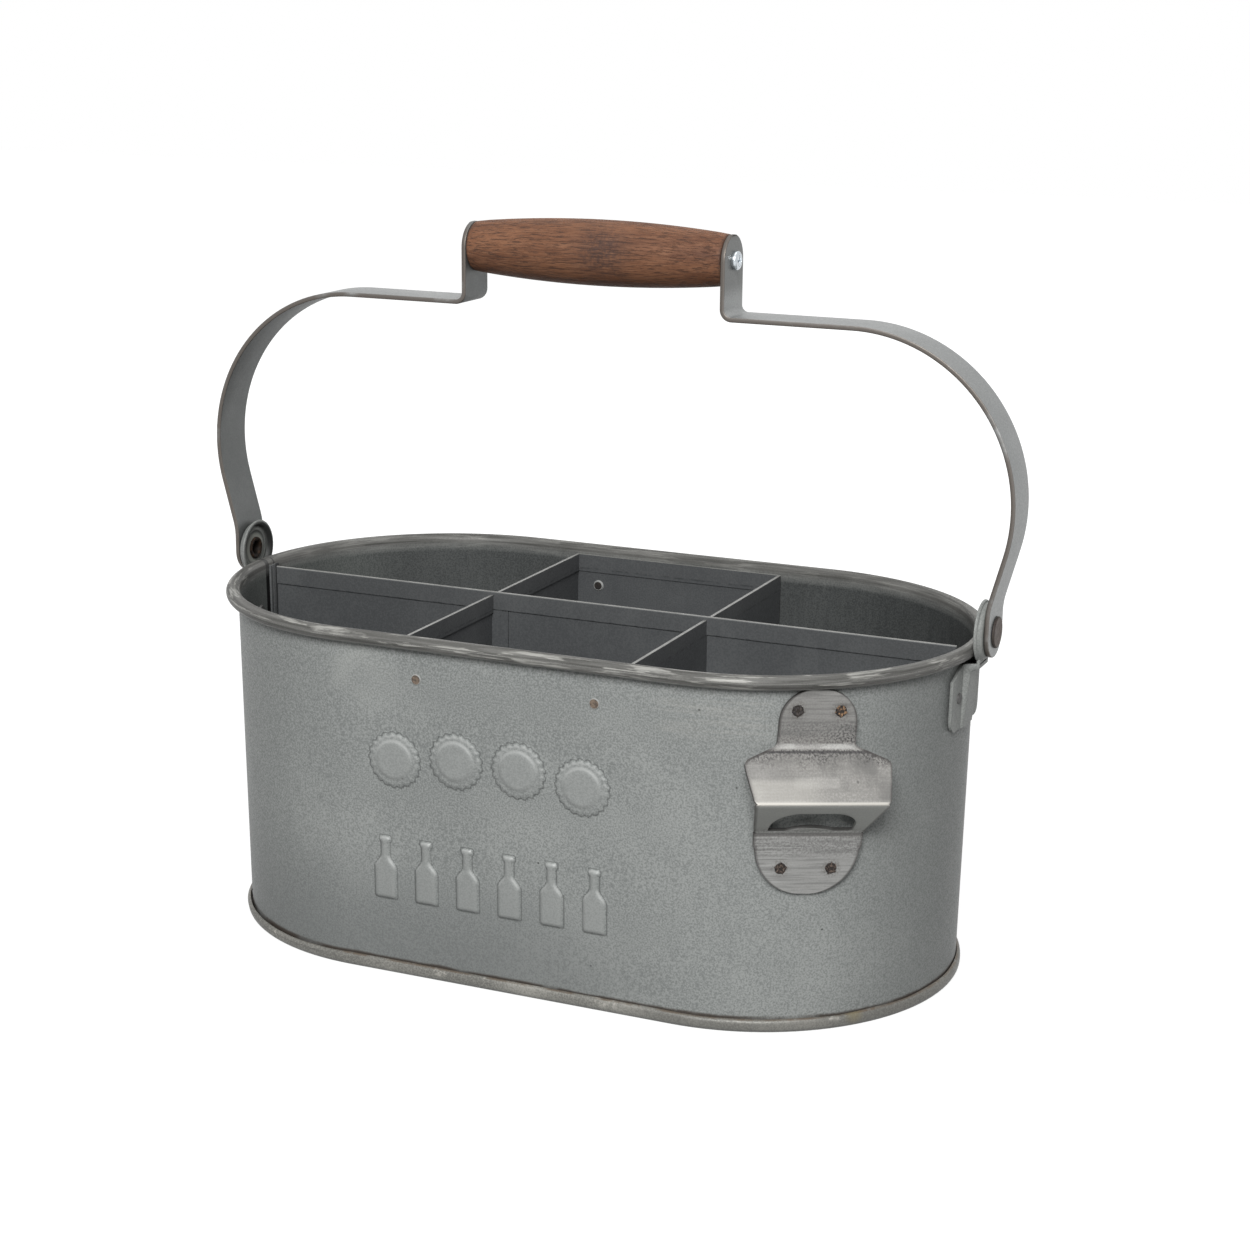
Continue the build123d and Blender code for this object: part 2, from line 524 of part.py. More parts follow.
# Ear bracket: a dished ear above the rim, a raised channel past it and two wings on the wall
rim_reach = STRAIGHT_HALF + RIM_CENTRE_OUT + RIM_RADIUS
ear_inside = rim_reach + EAR_GAP
ear_outside = ear_inside + EAR_PLATE
boss_outside = ear_outside + EAR_BOSS_RISE
stem_height = PIVOT_HEIGHT - CHANNEL_TOP + EAR_PLATE
pivot_place = [(0, PIVOT_HEIGHT)]
with BuildPart() as right_ear_bracket:
    with BuildSketch(Plane.YZ.offset(ear_inside)) as ear_outline:
        with Locations(*pivot_place):
            Circle(EAR_RADIUS)
        with Locations(*pivot_place):
            Rectangle(2 * CHANNEL_HALF, stem_height, align=(Align.CENTER, Align.MAX))
    extrude(ear_outline.sketch, amount=EAR_PLATE)
    ear_back = Plane.YZ.offset(ear_inside)
    ear_front = Plane.YZ.offset(ear_outside)
    add_discs(ear_front, pivot_place, EAR_BOSS_RADIUS, EAR_BOSS_RISE, RIVET_EDGE_TAPER)
    cut_holes(ear_back, pivot_place, EAR_BOSS_RADIUS - EAR_BOSS_RISE, OVERRUN, EAR_BOSS_RISE)
    # The channel is a box with its back to the wall, hollowed from behind. Its top bends out
    # as a shelf to pass the rim.
    channel_foot = CHANNEL_BOTTOM - CHANNEL_RUNOUT
    wall_top = STRAIGHT_HALF + wall_radius(CHANNEL_TOP) + SHEET_GAP
    wall_low = STRAIGHT_HALF + wall_radius(channel_foot) + SHEET_GAP
    channel_high = STRAIGHT_HALF + wall_radius(CHANNEL_SHELF) + SHEET_GAP + CHANNEL_SHELF_DEPTH
    channel_low = STRAIGHT_HALF + wall_radius(CHANNEL_BOTTOM) + SHEET_GAP + CHANNEL_DEPTH
    with BuildSketch(Plane.XZ) as channel_outside:
        with BuildLine():
            Polyline(
                (wall_top, CHANNEL_TOP),
                (ear_outside, CHANNEL_TOP),
                (ear_outside, CHANNEL_TOP - EAR_PLATE),
                (channel_high + EAR_PLATE, CHANNEL_SHELF),
                (channel_low + EAR_PLATE, CHANNEL_BOTTOM),
                (wall_low + EAR_PLATE, channel_foot),
                (wall_low, channel_foot),
                close=True,
            )
        make_face()
    extrude(channel_outside.sketch, amount=CHANNEL_HALF, both=True)
    with BuildSketch(Plane.XZ) as channel_inside:
        with BuildLine():
            Polyline(
                (wall_top - OVERRUN, CHANNEL_TOP + OVERRUN),
                (ear_inside, CHANNEL_TOP + OVERRUN),
                (ear_inside, CHANNEL_TOP - EAR_PLATE / 2),
                (channel_high, CHANNEL_SHELF + EAR_PLATE / 2),
                (channel_low, CHANNEL_BOTTOM),
                (wall_low, channel_foot + EAR_PLATE),
                (wall_low - OVERRUN, channel_foot + EAR_PLATE),
                close=True,
            )
        make_face()
    extrude(channel_inside.sketch, amount=CHANNEL_HALF - EAR_PLATE, both=True, mode=Mode.SUBTRACT)
    for wing, wing_plane in zip((-1, 1), WING_PLANES):
        inner = CHANNEL_HALF - EAR_PLATE / 2 - WING_RIVET_OUT
        outer = WING_REACH - WING_RIVET_OUT
        with BuildSketch(wing_plane.offset(SHEET_GAP)) as wing_outline:
            with BuildLine():
                Polyline(
                    (wing * inner, WING_TOP - WING_RIVET_HEIGHT),
                    (wing * outer, WING_TOP - WING_SLOPE_DROP - WING_RIVET_HEIGHT),
                    (wing * outer, WING_BOTTOM - WING_RIVET_HEIGHT),
                    (wing * inner, WING_BOTTOM - WING_RIVET_HEIGHT),
                    close=True,
                )
            make_face()
            outer_corners = wing_outline.vertices().group_by(Axis.X)[-1 if wing > 0 else 0]
            low_corner, high_corner = outer_corners.sort_by(Axis.Y)
            fillet(low_corner, radius=WING_ROUND)
            fillet(high_corner, radius=WING_TIP_ROUND)
        extrude(wing_outline.sketch, amount=EAR_PLATE)
        cut_rivet_holes(wing_plane, [(0, 0)], 0, EAR_PLATE)
    pivot_hole_radius = PIVOT_SHANK_RADIUS + PIVOT_FIT
    boss_reach = EAR_PLATE + EAR_BOSS_RISE + OVERRUN
    cut_holes(ear_back, pivot_place, pivot_hole_radius, OVERRUN, boss_reach)
finish(right_ear_bracket, "right_ear_bracket")

with BuildPart() as left_ear_bracket:
    mirror(right_ear_bracket.part, about=Plane.YZ)
finish(left_ear_bracket, "left_ear_bracket")

with BuildPart() as right_ear_rivets:
    for wing_plane in WING_PLANES:
        add_rivets(wing_plane, [(0, 0)], SHEET, SHEET_GAP + EAR_PLATE)
finish(right_ear_rivets, "right_ear_rivets")

with BuildPart() as left_ear_rivets:
    mirror(right_ear_rivets.part, about=Plane.YZ)
finish(left_ear_rivets, "left_ear_rivets")

# Pivot rivet: a flat head outside the strap and a hollow clinched end inside the ear
strap_inside = boss_outside + RUN_GAP
strap_outside = strap_inside + STRAP_THICKNESS
head_foot = strap_outside + RUN_GAP
clinch_face = ear_inside + EAR_BOSS_RISE - SHEET_GAP
with BuildPart() as right_pivot_rivet:
    add_discs(Plane.YZ.offset(clinch_face), pivot_place, PIVOT_SHANK_RADIUS, head_foot - clinch_face)
    add_discs(Plane.YZ.offset(head_foot), pivot_place, PIVOT_HEAD_RADIUS, PIVOT_HEAD_HEIGHT)
    fillet(right_pivot_rivet.edges().group_by(Axis.X)[-1], radius=PIVOT_EDGE_ROUND)
    add_discs(Plane.YZ.offset(clinch_face), pivot_place, PIVOT_CLINCH_RADIUS, -PIVOT_CLINCH_HEIGHT)
    fillet(right_pivot_rivet.edges().group_by(Axis.X)[0], radius=PIVOT_EDGE_ROUND)
    clinch_end = clinch_face - PIVOT_CLINCH_HEIGHT
    cut_holes(Plane.YZ.offset(clinch_end), pivot_place, PIVOT_HOLLOW_RADIUS, OVERRUN, PIVOT_HOLLOW_DEPTH)
finish(right_pivot_rivet, "right_pivot_rivet")

with BuildPart() as left_pivot_rivet:
    mirror(right_pivot_rivet.part, about=Plane.YZ)
finish(left_pivot_rivet, "left_pivot_rivet")

# Bottle opener: one plate folded three times, trimmed to its outline, with a mouth in its web
opener_side = Plane(origin=OPENER_FACE.origin, x_dir=OPENER_FACE.z_dir, z_dir=-OPENER_FACE.x_dir)
plate_out = SHEET_GAP + OPENER_PLATE
with BuildPart() as bottle_opener:
    with BuildSketch(opener_side) as opener_section:
        with BuildLine():
            plate_face = FilletPolyline(
                (plate_out, OPENER_TOP - OPENER_MIDDLE + OVERRUN),
                (plate_out, OPENER_UPPER_FOLD - OPENER_MIDDLE),
                (OPENER_RIDGE_OUT, OPENER_RIDGE_HEIGHT - OPENER_MIDDLE),
                (plate_out, OPENER_LOWER_FOLD - OPENER_MIDDLE),
                (plate_out, OPENER_BOTTOM - OPENER_MIDDLE - OVERRUN),
                radius=OPENER_BEND,
            )
            offset(plate_face, amount=OPENER_PLATE, side=Side.RIGHT)
        make_face()
    extrude(opener_section.sketch, amount=OPENER_SHOULDER_HALF + OVERRUN, both=True)
    with BuildSketch(OPENER_FACE.offset(-OVERRUN)) as opener_outline:
        with BuildLine():
            Line((0, OPENER_TOP - OPENER_MIDDLE), (OPENER_NECK_HALF, OPENER_TOP - OPENER_MIDDLE))
            Polyline(
                (OPENER_NECK_HALF, OPENER_TOP - OPENER_MIDDLE),
                (OPENER_NECK_HALF, OPENER_UPPER_FOLD - OPENER_MIDDLE),
                (OPENER_SHOULDER_HALF, OPENER_SHOULDER_HEIGHT - OPENER_MIDDLE),
                (OPENER_RIDGE_HALF, OPENER_RIDGE_HEIGHT - OPENER_MIDDLE),
                (OPENER_LOWER_HALF, OPENER_LOWER_FOLD - OPENER_MIDDLE),
                (OPENER_LOWER_HALF, OPENER_BOTTOM - OPENER_MIDDLE),
                (0, OPENER_BOTTOM - OPENER_MIDDLE),
            )
            mirror(about=Plane.YZ)
        make_face()
        rows = opener_outline.vertices().group_by(Axis.Y)
        fillet(rows[0], radius=OPENER_BOTTOM_ROUND)
        fillet(opener_outline.vertices().group_by(Axis.X)[0], radius=OPENER_CORNER_ROUND)
        fillet(opener_outline.vertices().group_by(Axis.X)[-1], radius=OPENER_CORNER_ROUND)
        fillet(opener_outline.vertices().group_by(Axis.Y)[-1], radius=OPENER_TOP_ROUND)
    extrude(opener_outline.sketch, amount=OPENER_RIDGE_OUT + 2 * OVERRUN, mode=Mode.INTERSECT)
    # The mouth is cut square to the web, between the ridge and the lower fold.
    web_rise = OPENER_RIDGE_HEIGHT - OPENER_LOWER_FOLD
    web_run = OPENER_RIDGE_OUT - plate_out
    web_length = hypot(web_rise, web_run)
    web_foot = opener_side.from_local_coords(Vector(plate_out, OPENER_LOWER_FOLD - OPENER_MIDDLE))
    web_up = OPENER_FACE.z_dir * (web_run / web_length) + OPENER_FACE.y_dir * (web_rise / web_length)
    web_plane = Plane(origin=web_foot, x_dir=OPENER_FACE.x_dir, z_dir=OPENER_FACE.x_dir.cross(web_up))
    with BuildSketch(web_plane) as mouth:
        with Locations((0, MOUTH_START)):
            Rectangle(MOUTH_WIDTH, MOUTH_HEIGHT, align=(Align.CENTER, Align.MIN))
        fillet(mouth.vertices().group_by(Axis.Y)[-1], radius=MOUTH_ROUND)
        fillet(mouth.vertices().group_by(Axis.Y)[0], radius=MOUTH_CORNER)
        tongue_radius = (TONGUE_HALF**2 + TONGUE_RISE**2) / (2 * TONGUE_RISE)
        with Locations((0, MOUTH_START + TONGUE_RISE - tongue_radius)):
            Circle(tongue_radius, mode=Mode.SUBTRACT)
    extrude(mouth.sketch, amount=2 * OPENER_PLATE, both=True, mode=Mode.SUBTRACT)
    cut_rivet_holes(OPENER_FACE, OPENER_RIVET_PLACES, 0, OPENER_PLATE)
finish(bottle_opener, "bottle_opener")

with BuildPart() as opener_rivets:
    add_rivets(OPENER_FACE, OPENER_RIVET_PLACES, OPENER_TAIL_DEPTH, plate_out)
finish(opener_rivets, "opener_rivets")

# Right strap: its inner face runs up from the ear, round the shoulder, along the arm and up the tab
arm_height = PIVOT_HEIGHT + ARM_RISE
bail_reach = strap_inside + BAIL_BULGE
tab_inside = GRIP_LENGTH / 2
tab_outside = tab_inside + STRAP_THICKNESS
grip_height = PIVOT_HEIGHT + GRIP_RISE
screw_place = [(0, grip_height)]
screw_hole_radius = SCREW_SHANK_RADIUS + SCREW_FIT
flare = radians(STRAP_FLARE)
shoulder_start = Vector(
    bail_reach - SHOULDER_RADIUS + SHOULDER_RADIUS * cos(flare),
    arm_height - SHOULDER_RADIUS - SHOULDER_RADIUS * sin(flare),
)
flare_run = (shoulder_start.X - strap_inside - EAR_BEND_RADIUS * (1 - cos(flare))) / sin(flare)
bend_start = shoulder_start.Y - flare_run * cos(flare) - EAR_BEND_RADIUS * sin(flare)
with BuildPart() as right_strap:
    with BuildSketch(Plane.XZ) as strap_section:
        with BuildLine() as strap_line:
            foot = Line((strap_inside, PIVOT_HEIGHT - STRAP_WIDTH), (strap_inside, bend_start))
            ear_bend = JernArc(foot @ 1, foot % 1, radius=EAR_BEND_RADIUS, arc_size=-STRAP_FLARE)
            leg = Line(ear_bend @ 1, shoulder_start)
            shoulder = JernArc(
                leg @ 1, leg % 1, radius=SHOULDER_RADIUS, arc_size=QUARTER_TURN + STRAP_FLARE
            )
            arm = Line(shoulder @ 1, (tab_inside + TAB_BEND_RADIUS, arm_height))
            tab_bend = JernArc(arm @ 1, arm % 1, radius=TAB_BEND_RADIUS, arc_size=-QUARTER_TURN)
            tab = Line(tab_bend @ 1, (tab_inside, grip_height + STRAP_WIDTH))
            offset(strap_line.wires()[0], amount=STRAP_THICKNESS, side=Side.RIGHT)
        make_face()
    extrude(strap_section.sketch, amount=STRAP_WIDTH / 2, both=True)
    with BuildSketch(Plane.YZ) as strap_outline:
        with Locations((0, (PIVOT_HEIGHT + grip_height) / 2)):
            SlotCenterToCenter(GRIP_RISE, STRAP_WIDTH, rotation=QUARTER_TURN)
    extrude(strap_outline.sketch, amount=bail_reach + 2 * STRAP_THICKNESS, mode=Mode.INTERSECT)
    strap_reach = STRAP_THICKNESS + OVERRUN
    cut_holes(Plane.YZ.offset(strap_inside), pivot_place, pivot_hole_radius, OVERRUN, strap_reach)
    cut_holes(Plane.YZ.offset(tab_inside), screw_place, screw_hole_radius, OVERRUN, strap_reach)
finish(right_strap, "right_strap")

with BuildPart() as left_strap:
    mirror(right_strap.part, about=Plane.YZ)
finish(left_strap, "left_strap")

# Turned grip, drilled for its screws
with BuildPart() as wood_grip:
    with BuildSketch(Plane.XZ) as grip_section:
        with BuildLine():
            swell = ThreePointArc(
                (-tab_inside, grip_height + GRIP_END_RADIUS),
                (0, grip_height + GRIP_MIDDLE_RADIUS),
                (tab_inside, grip_height + GRIP_END_RADIUS),
            )
            Line(swell @ 1, (tab_inside, grip_height))
            Line((tab_inside, grip_height), (-tab_inside, grip_height))
            Line((-tab_inside, grip_height), swell @ 0)
        make_face()
    revolve(grip_section.sketch, axis=Axis((0, 0, grip_height), (1, 0, 0)))
    fillet(wood_grip.edges().filter_by(GeomType.CIRCLE).group_by(Axis.X)[0], radius=GRIP_EDGE)
    fillet(wood_grip.edges().filter_by(GeomType.CIRCLE).group_by(Axis.X)[-1], radius=GRIP_EDGE)
    for end in (-1, 1):
        drill_plane = Plane(origin=(end * tab_inside, 0, grip_height), z_dir=(end, 0, 0))
        cut_holes(drill_plane, [(0, 0)], screw_hole_radius, SCREW_LENGTH + SCREW_FIT, OVERRUN)
finish(wood_grip, "wood_grip")

# Grip screws: pan heads with a cross recess
with BuildPart() as right_grip_screw:
    screw_plane = Plane.YZ.offset(tab_outside)
    shank_length = SCREW_LENGTH + STRAP_THICKNESS
    add_discs(screw_plane, screw_place, SCREW_SHANK_RADIUS, -shank_length)
    add_discs(screw_plane, screw_place, SCREW_HEAD_RADIUS, SCREW_HEAD_HEIGHT)
    fillet(right_grip_screw.edges().group_by(Axis.X)[-1], radius=SCREW_EDGE)
    with BuildSketch(screw_plane.offset(SCREW_HEAD_HEIGHT - SCREW_SLOT_DEPTH)) as cross:
        with Locations(*screw_place):
            Rectangle(SCREW_SLOT_LENGTH, SCREW_SLOT_WIDTH)
            Rectangle(SCREW_SLOT_WIDTH, SCREW_SLOT_LENGTH)
    extrude(cross.sketch, amount=SCREW_SLOT_DEPTH + OVERRUN, mode=Mode.SUBTRACT)
finish(right_grip_screw, "right_grip_screw")

with BuildPart() as left_grip_screw:
    mirror(right_grip_screw.part, about=Plane.YZ)
finish(left_grip_screw, "left_grip_screw")
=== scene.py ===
import math
import random

import bmesh
import bpy
from mathutils import Matrix, Vector


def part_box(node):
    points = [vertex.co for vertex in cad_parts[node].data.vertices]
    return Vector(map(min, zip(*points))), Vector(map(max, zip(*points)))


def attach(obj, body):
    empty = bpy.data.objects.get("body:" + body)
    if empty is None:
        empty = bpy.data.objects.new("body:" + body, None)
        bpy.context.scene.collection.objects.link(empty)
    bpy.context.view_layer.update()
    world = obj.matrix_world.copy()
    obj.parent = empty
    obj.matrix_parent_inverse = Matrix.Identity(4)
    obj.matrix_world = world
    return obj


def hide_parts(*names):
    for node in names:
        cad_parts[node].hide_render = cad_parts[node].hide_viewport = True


# Bottle caddy: a weathered galvanised tub with six cells, a strap bail with a wooden grip and
# a pressed bottle opener. Metres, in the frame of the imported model: +Z up, +X towards the end
# that carries the opener, -Y the front with the pressed relief.

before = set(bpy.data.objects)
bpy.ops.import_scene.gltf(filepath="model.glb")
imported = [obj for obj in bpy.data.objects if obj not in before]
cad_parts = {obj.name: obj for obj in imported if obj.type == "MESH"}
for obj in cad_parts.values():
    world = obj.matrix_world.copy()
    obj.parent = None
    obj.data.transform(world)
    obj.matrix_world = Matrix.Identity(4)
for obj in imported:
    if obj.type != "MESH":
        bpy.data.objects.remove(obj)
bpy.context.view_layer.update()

MM = 0.001
QUARTER_TURN = math.pi / 2
HALF_TURN = math.pi
FULL_TURN = 2 * math.pi
FACING_X = (0, QUARTER_TURN, 0)
MERGE = 0.01 * MM

# Tub wall and rolled rim
SHEET = 0.7 * MM
SHEET_GAP = 0.05 * MM
WALL_LEAN = 2.5 * MM
WALL_STEP = 5 * MM
RIM_RADIUS = 3.0 * MM
RIM_SIDES = 32
RIM_MOUTH_START = math.radians(182)
RIM_MOUTH_END = math.radians(226)
ROUND_STEPS = 60
shell_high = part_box("tub_shell")[1]
TUB_HEIGHT = shell_high.z
STRAIGHT_HALF = shell_high.x - shell_high.y
RIM_CENTRE_OUT = shell_high.y - RIM_RADIUS
RIM_CENTRE_HEIGHT = TUB_HEIGHT - RIM_RADIUS
WALL_TOP_OUT = RIM_CENTRE_OUT - RIM_RADIUS + SHEET
FOOT_OUT = WALL_TOP_OUT - WALL_LEAN * RIM_CENTRE_HEIGHT / TUB_HEIGHT

# Lock seam inside the left end: place across, width and share of the full thickness of each strip
SEAM_STRIPS = ((-0.9 * MM, 1.5 * MM, 1.0), (2.0 * MM, 2.6 * MM, 0.75), (4.9 * MM, 1.6 * MM, 1.0))
SEAM_PROUD = 0.8 * MM
SEAM_EDGE = 0.3 * MM

# Pressed relief on the front: plain bottles under an arched row of crown caps
RELIEF_STEP = 0.8 * MM
RELIEF_LOW = 29 * MM
RELIEF_HIGH = 113 * MM
RELIEF_LEFT = -66 * MM
RELIEF_RIGHT = 50 * MM
RELIEF_MIDDLE = -8 * MM
RELIEF_HEIGHT = 1.6 * MM
RELIEF_SLOPE = 1.6 * MM
CAP_RADIUS = 12.5 * MM
CAP_FLUTE_DEPTH = 0.9 * MM
CAP_CROWN_RADIUS = 8.8 * MM
CAP_SKIRT_SHARE = 0.55
CAP_FLUTES = 21
CAP_COUNT = 4
CAP_PITCH = 28.5 * MM
CAP_ROW_HEIGHT = TUB_HEIGHT - 55 * MM
CAP_ROW_RISE = 3.5 * MM
BOTTLE_COUNT = 6
BOTTLE_PITCH = 19.2 * MM
BOTTLE_FOOT = 33 * MM
BOTTLE_BODY_HALF = 5.4 * MM
BOTTLE_BODY_HEIGHT = 14.5 * MM
BOTTLE_SHOULDER_HEIGHT = 5.0 * MM
BOTTLE_NECK_HALF = 2.2 * MM
BOTTLE_LIP_HALF = 2.9 * MM
BOTTLE_LIP_FOOT = 26 * MM
BOTTLE_TOP = 28.2 * MM

# Base bead and floor pan
BEAD_HEIGHT = 5.5 * MM
BEAD_ROUND = 1.5 * MM
BEAD_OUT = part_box("base_pan")[1].y
FLOOR_RISE = 3.0 * MM
LIP_SWAY = 0.45 * MM
LIP_SPRUNG_DROP = 0.5 * MM
LIP_SPRUNG_OUT = 0.55 * MM
LIP_SPRUNG_SWAY = 0.35 * MM
LIP_SPRUNG = (-164 * MM, -140 * MM, -105 * MM, -75 * MM)

# Bail straps, grip, screws and pivots
STRAP_THICKNESS = 2.0 * MM
STRAP_EDGE = 0.45 * MM
RUN_GAP = 0.3 * MM
STRAP_FLARE = math.radians(15)
EAR_BEND_RADIUS = 31 * MM
SHOULDER_RADIUS = 68.5 * MM
ARM_RISE = 119.5 * MM
TAB_BEND_RADIUS = 5 * MM
PIVOT_HOLE = 3.1 * MM
GRIP_HOLE = 2.1 * MM
strap_low, strap_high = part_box("right_strap")
STRAP_RADIUS = strap_high.y
PIVOT_HEIGHT = strap_low.z + STRAP_RADIUS
GRIP_HEIGHT = strap_high.z - STRAP_RADIUS
TAB_INSIDE = strap_low.x
BAIL_REACH = strap_high.x - STRAP_THICKNESS
grip_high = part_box("wood_grip")[1]
GRIP_END_RADIUS = 10.6 * MM
GRIP_EDGE = 1.1 * MM
GRIP_STATIONS = 24
SCREW_HEAD_RADIUS = 4.0 * MM
SCREW_HEAD_HEIGHT = 2.4 * MM
SCREW_HEAD_ROUND = 1.3 * MM
SCREW_RECESS = (2.6 * MM, 4.6 * MM, 1.0 * MM)
SCREW_EDGE = 0.12 * MM
SCREW_SHANK_RADIUS = 2.0 * MM
SCREW_SHANK_LENGTH = 27 * MM
SCREW_SHANK_MIDDLE = 13.4 * MM
SCREW_TIP_INSET = 1.2 * MM
SCREW_TIP_LENGTH = 1.5 * MM
PIVOT_HEAD_RADIUS = 6.5 * MM
PIVOT_HEAD_ROUND = 0.5 * MM
PIVOT_HEAD_INSETS = (1.6 * MM, 1.2 * MM)
PIVOT_HEAD_DIP = 0.15 * MM

# Clinched end of the pivot in millimetres: place from its tip and radius of each ring, from the shank in
CLINCH_RINGS = (
    (1.3, 3.0), (1.1, 4.6), (0.7, 5.0), (0.3, 4.9), (0.0, 4.4),
    (0.05, 3.8), (0.4, 3.3), (1.2, 2.9), (3.6, 2.6),
)

# Ear brackets
EAR_PLATE = 1.3 * MM
EAR_RADIUS = 13.3 * MM
EAR_EDGE = 0.25 * MM
NECK_EDGE = 0.3 * MM
NECK_WIDTH = 13 * MM
DISH_GROOVE = (9.4 * MM, 10.4 * MM, 11.9 * MM, 12.5 * MM)
DISH_RING = (7.0 * MM, 7.5 * MM, 7.8 * MM, 8.4 * MM)
WING_REACH = 19.5 * MM
WING_TOP = TUB_HEIGHT - 8 * MM
WING_SLOPE_DROP = 5.4 * MM
WING_BOTTOM = WING_TOP - 27.5 * MM
WING_ROUND = 5.5 * MM
WING_RIVET_OUT = 11 * MM
WING_LIFT = 1.1 * MM
CHANNEL_HALF = 7.5 * MM
CHANNEL_TOP = TUB_HEIGHT - 7.7 * MM
CHANNEL_SHELF = TUB_HEIGHT - 12 * MM
CHANNEL_FOOT = TUB_HEIGHT - 33.7 * MM
CHANNEL_HIGH_DEPTH = 2.5 * MM
CHANNEL_LOW_DEPTH = 0.8 * MM
EAR_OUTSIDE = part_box("right_ear_bracket")[1].x
EAR_INSIDE = shell_high.x + 0.35 * MM
EAR_MIDDLE = EAR_INSIDE + EAR_PLATE / 2

# Rings of the dished ear in millimetres: distance in from the edge, then the sheet's step outwards
EAR_RINGS = (
    (0.35, -0.2), (0.5, 0.0), (0.45, 0.25), (0.35, 0.85), (0.35, 0.75), (0.5, 0.35),
    (0.9, 0.0), (0.4, -0.35), (0.5, -0.1), (0.5, 0.15), (0.5, 0.3), (2.0, 0.0),
)

# Bottle opener
OPENER_BEARING = math.radians(34.8)
OPENER_TILT = math.radians(3)
OPENER_PLATE = 1.6 * MM
OPENER_MIDDLE = TUB_HEIGHT - 49 * MM
OPENER_TOP = 42.6 * MM
OPENER_NECK_HALF = 15.6 * MM
OPENER_UPPER_FOLD = 19.5 * MM
OPENER_SHOULDER = 14.6 * MM
OPENER_SHOULDER_HALF = 30.1 * MM
OPENER_RIDGE = 1.6 * MM
OPENER_RIDGE_HALF = 27.2 * MM
OPENER_RIDGE_OUT = 18.5 * MM
OPENER_LOWER_FOLD = -15.4 * MM
OPENER_LOWER_HALF = 22.3 * MM
OPENER_BOTTOM = -41.5 * MM
OPENER_BOTTOM_ROUND = 20 * MM
OPENER_TOP_ROUND = 13 * MM
OPENER_NECK_SOFT = 2.2 * MM
OPENER_ROW = 0.7 * MM
OPENER_EDGE = 0.3 * MM
OPENER_BEND = 1.2 * MM
OPENER_RIDGE_BEND = 0.5 * MM
OPENER_RIVETS = (
    (-8.7 * MM, 34.2 * MM), (8.7 * MM, 34.2 * MM), (-10.3 * MM, -30.7 * MM), (10.3 * MM, -30.7 * MM),
)
MOUTH_HALF = 17.3 * MM
MOUTH_LOW = 1.7 * MM
MOUTH_HIGH = 17.0 * MM
MOUTH_ROUND = 11 * MM
TONGUE_HALF = 9.5 * MM
TONGUE_RISE = 2.5 * MM
PANEL_MIDDLE = (-1 * MM, 8.6 * MM)
PANEL_HALF = (8 * MM, 1.9 * MM)
PANEL_SLOPE = 0.9 * MM
PANEL_DEPTH = 0.12 * MM
SPOT_RADIUS = 2.45 * MM

# Rings of the rivets' worn ends in millimetres: distance in from the edge, then the step outwards
SPOT_RINGS = ((0.0, 0.35), (0.35, 0.2), (0.5, 0.1), (0.6, -0.1), (0.5, -0.15))
SPOT_RAGGED = 0.13
SPOT_ROUGH = 0.12 * MM

# Places of marks on the surfaces
BLOOM = (-67 * MM, -92.5 * MM, 131 * MM)
OCHRE_SPOT = (142 * MM, -60 * MM, 5 * MM)
GRIP_SMUDGE = (6 * MM, -12.5 * MM, GRIP_HEIGHT + 2 * MM)
CELL_RIVET_ASIDE = 40 * MM
CELL_RIVET_HEIGHT = 131 * MM
LEFT_END = (-150 * MM, -160 * MM)
RUST_FADE = (5.8 * MM, 7.0 * MM)

# Bands of marks: from, to and the softness of their borders. Those of the opener lie on its own plane.
GRINDING_ALONG = (74 * MM, 104 * MM, 14 * MM)
GRINDING_HEIGHT = (126 * MM, 136 * MM, 8 * MM)
SEAM_NEAR_GROOVE = (-4.4 * MM, -1.7 * MM, 0.2 * MM)
SEAM_FAR_GROOVE = (5.9 * MM, 8.4 * MM, 0.4 * MM)
RIM_LAP_LINE = (2.2 * MM, 3.0 * MM, 0.25 * MM)
RIM_CREST = (RIM_CENTRE_HEIGHT + 4.9 * MM, RIM_CENTRE_HEIGHT + 7.0 * MM, 0.7 * MM)
HEM = (139 * MM, 147 * MM, 0.4 * MM)
HEM_SHADE_AND_STAIN = (138.7 * MM, 139.1 * MM, 0.4 * MM)
CELL_RIVET_RING = (2.0 * MM, 2.5 * MM, 0.15 * MM)
PIVOT_RUBBED = (4.4 * MM, 6.4 * MM, 0.7 * MM)
HOOD = (3.5 * MM, 17 * MM, 1.5 * MM)
HOOD_RUBBED = (2.4 * MM, 8 * MM, 2.5 * MM)
UPPER_CREASE = (17.8 * MM, 18.2 * MM, 0.4 * MM)
NECK_DIRT = (21.5 * MM, 28 * MM, 4 * MM)
BRIGHT_BEND = (19.4 * MM, 20.6 * MM, 0.7 * MM)
RIDGE_LINE = (1.3 * MM, 2.2 * MM, 0.4 * MM)
WEB = (-15.6 * MM, 0.6 * MM, 0.7 * MM)
LOWER_CREASE = (-17.0 * MM, -16.0 * MM, 0.6 * MM)
LOWER_DIRT = (-23 * MM, -16 * MM, 5 * MM)
PANEL_GLEAM_ALONG = (-9 * MM, 6 * MM, 3 * MM)
PANEL_GLEAM_UP = (7.4 * MM, 9.4 * MM, 1.2 * MM)


def wall_out(height):
    """Distance of the wall's outer face from the tub's spine at a height."""
    return FOOT_OUT + WALL_LEAN * height / TUB_HEIGHT


def from_spine(place):
    """Distance from the tub's spine, and the level direction away from it."""
    spine = max(-STRAIGHT_HALF, min(STRAIGHT_HALF, place.x))
    away = Vector((place.x - spine, place.y, 0))
    return away.length, away.normalized()


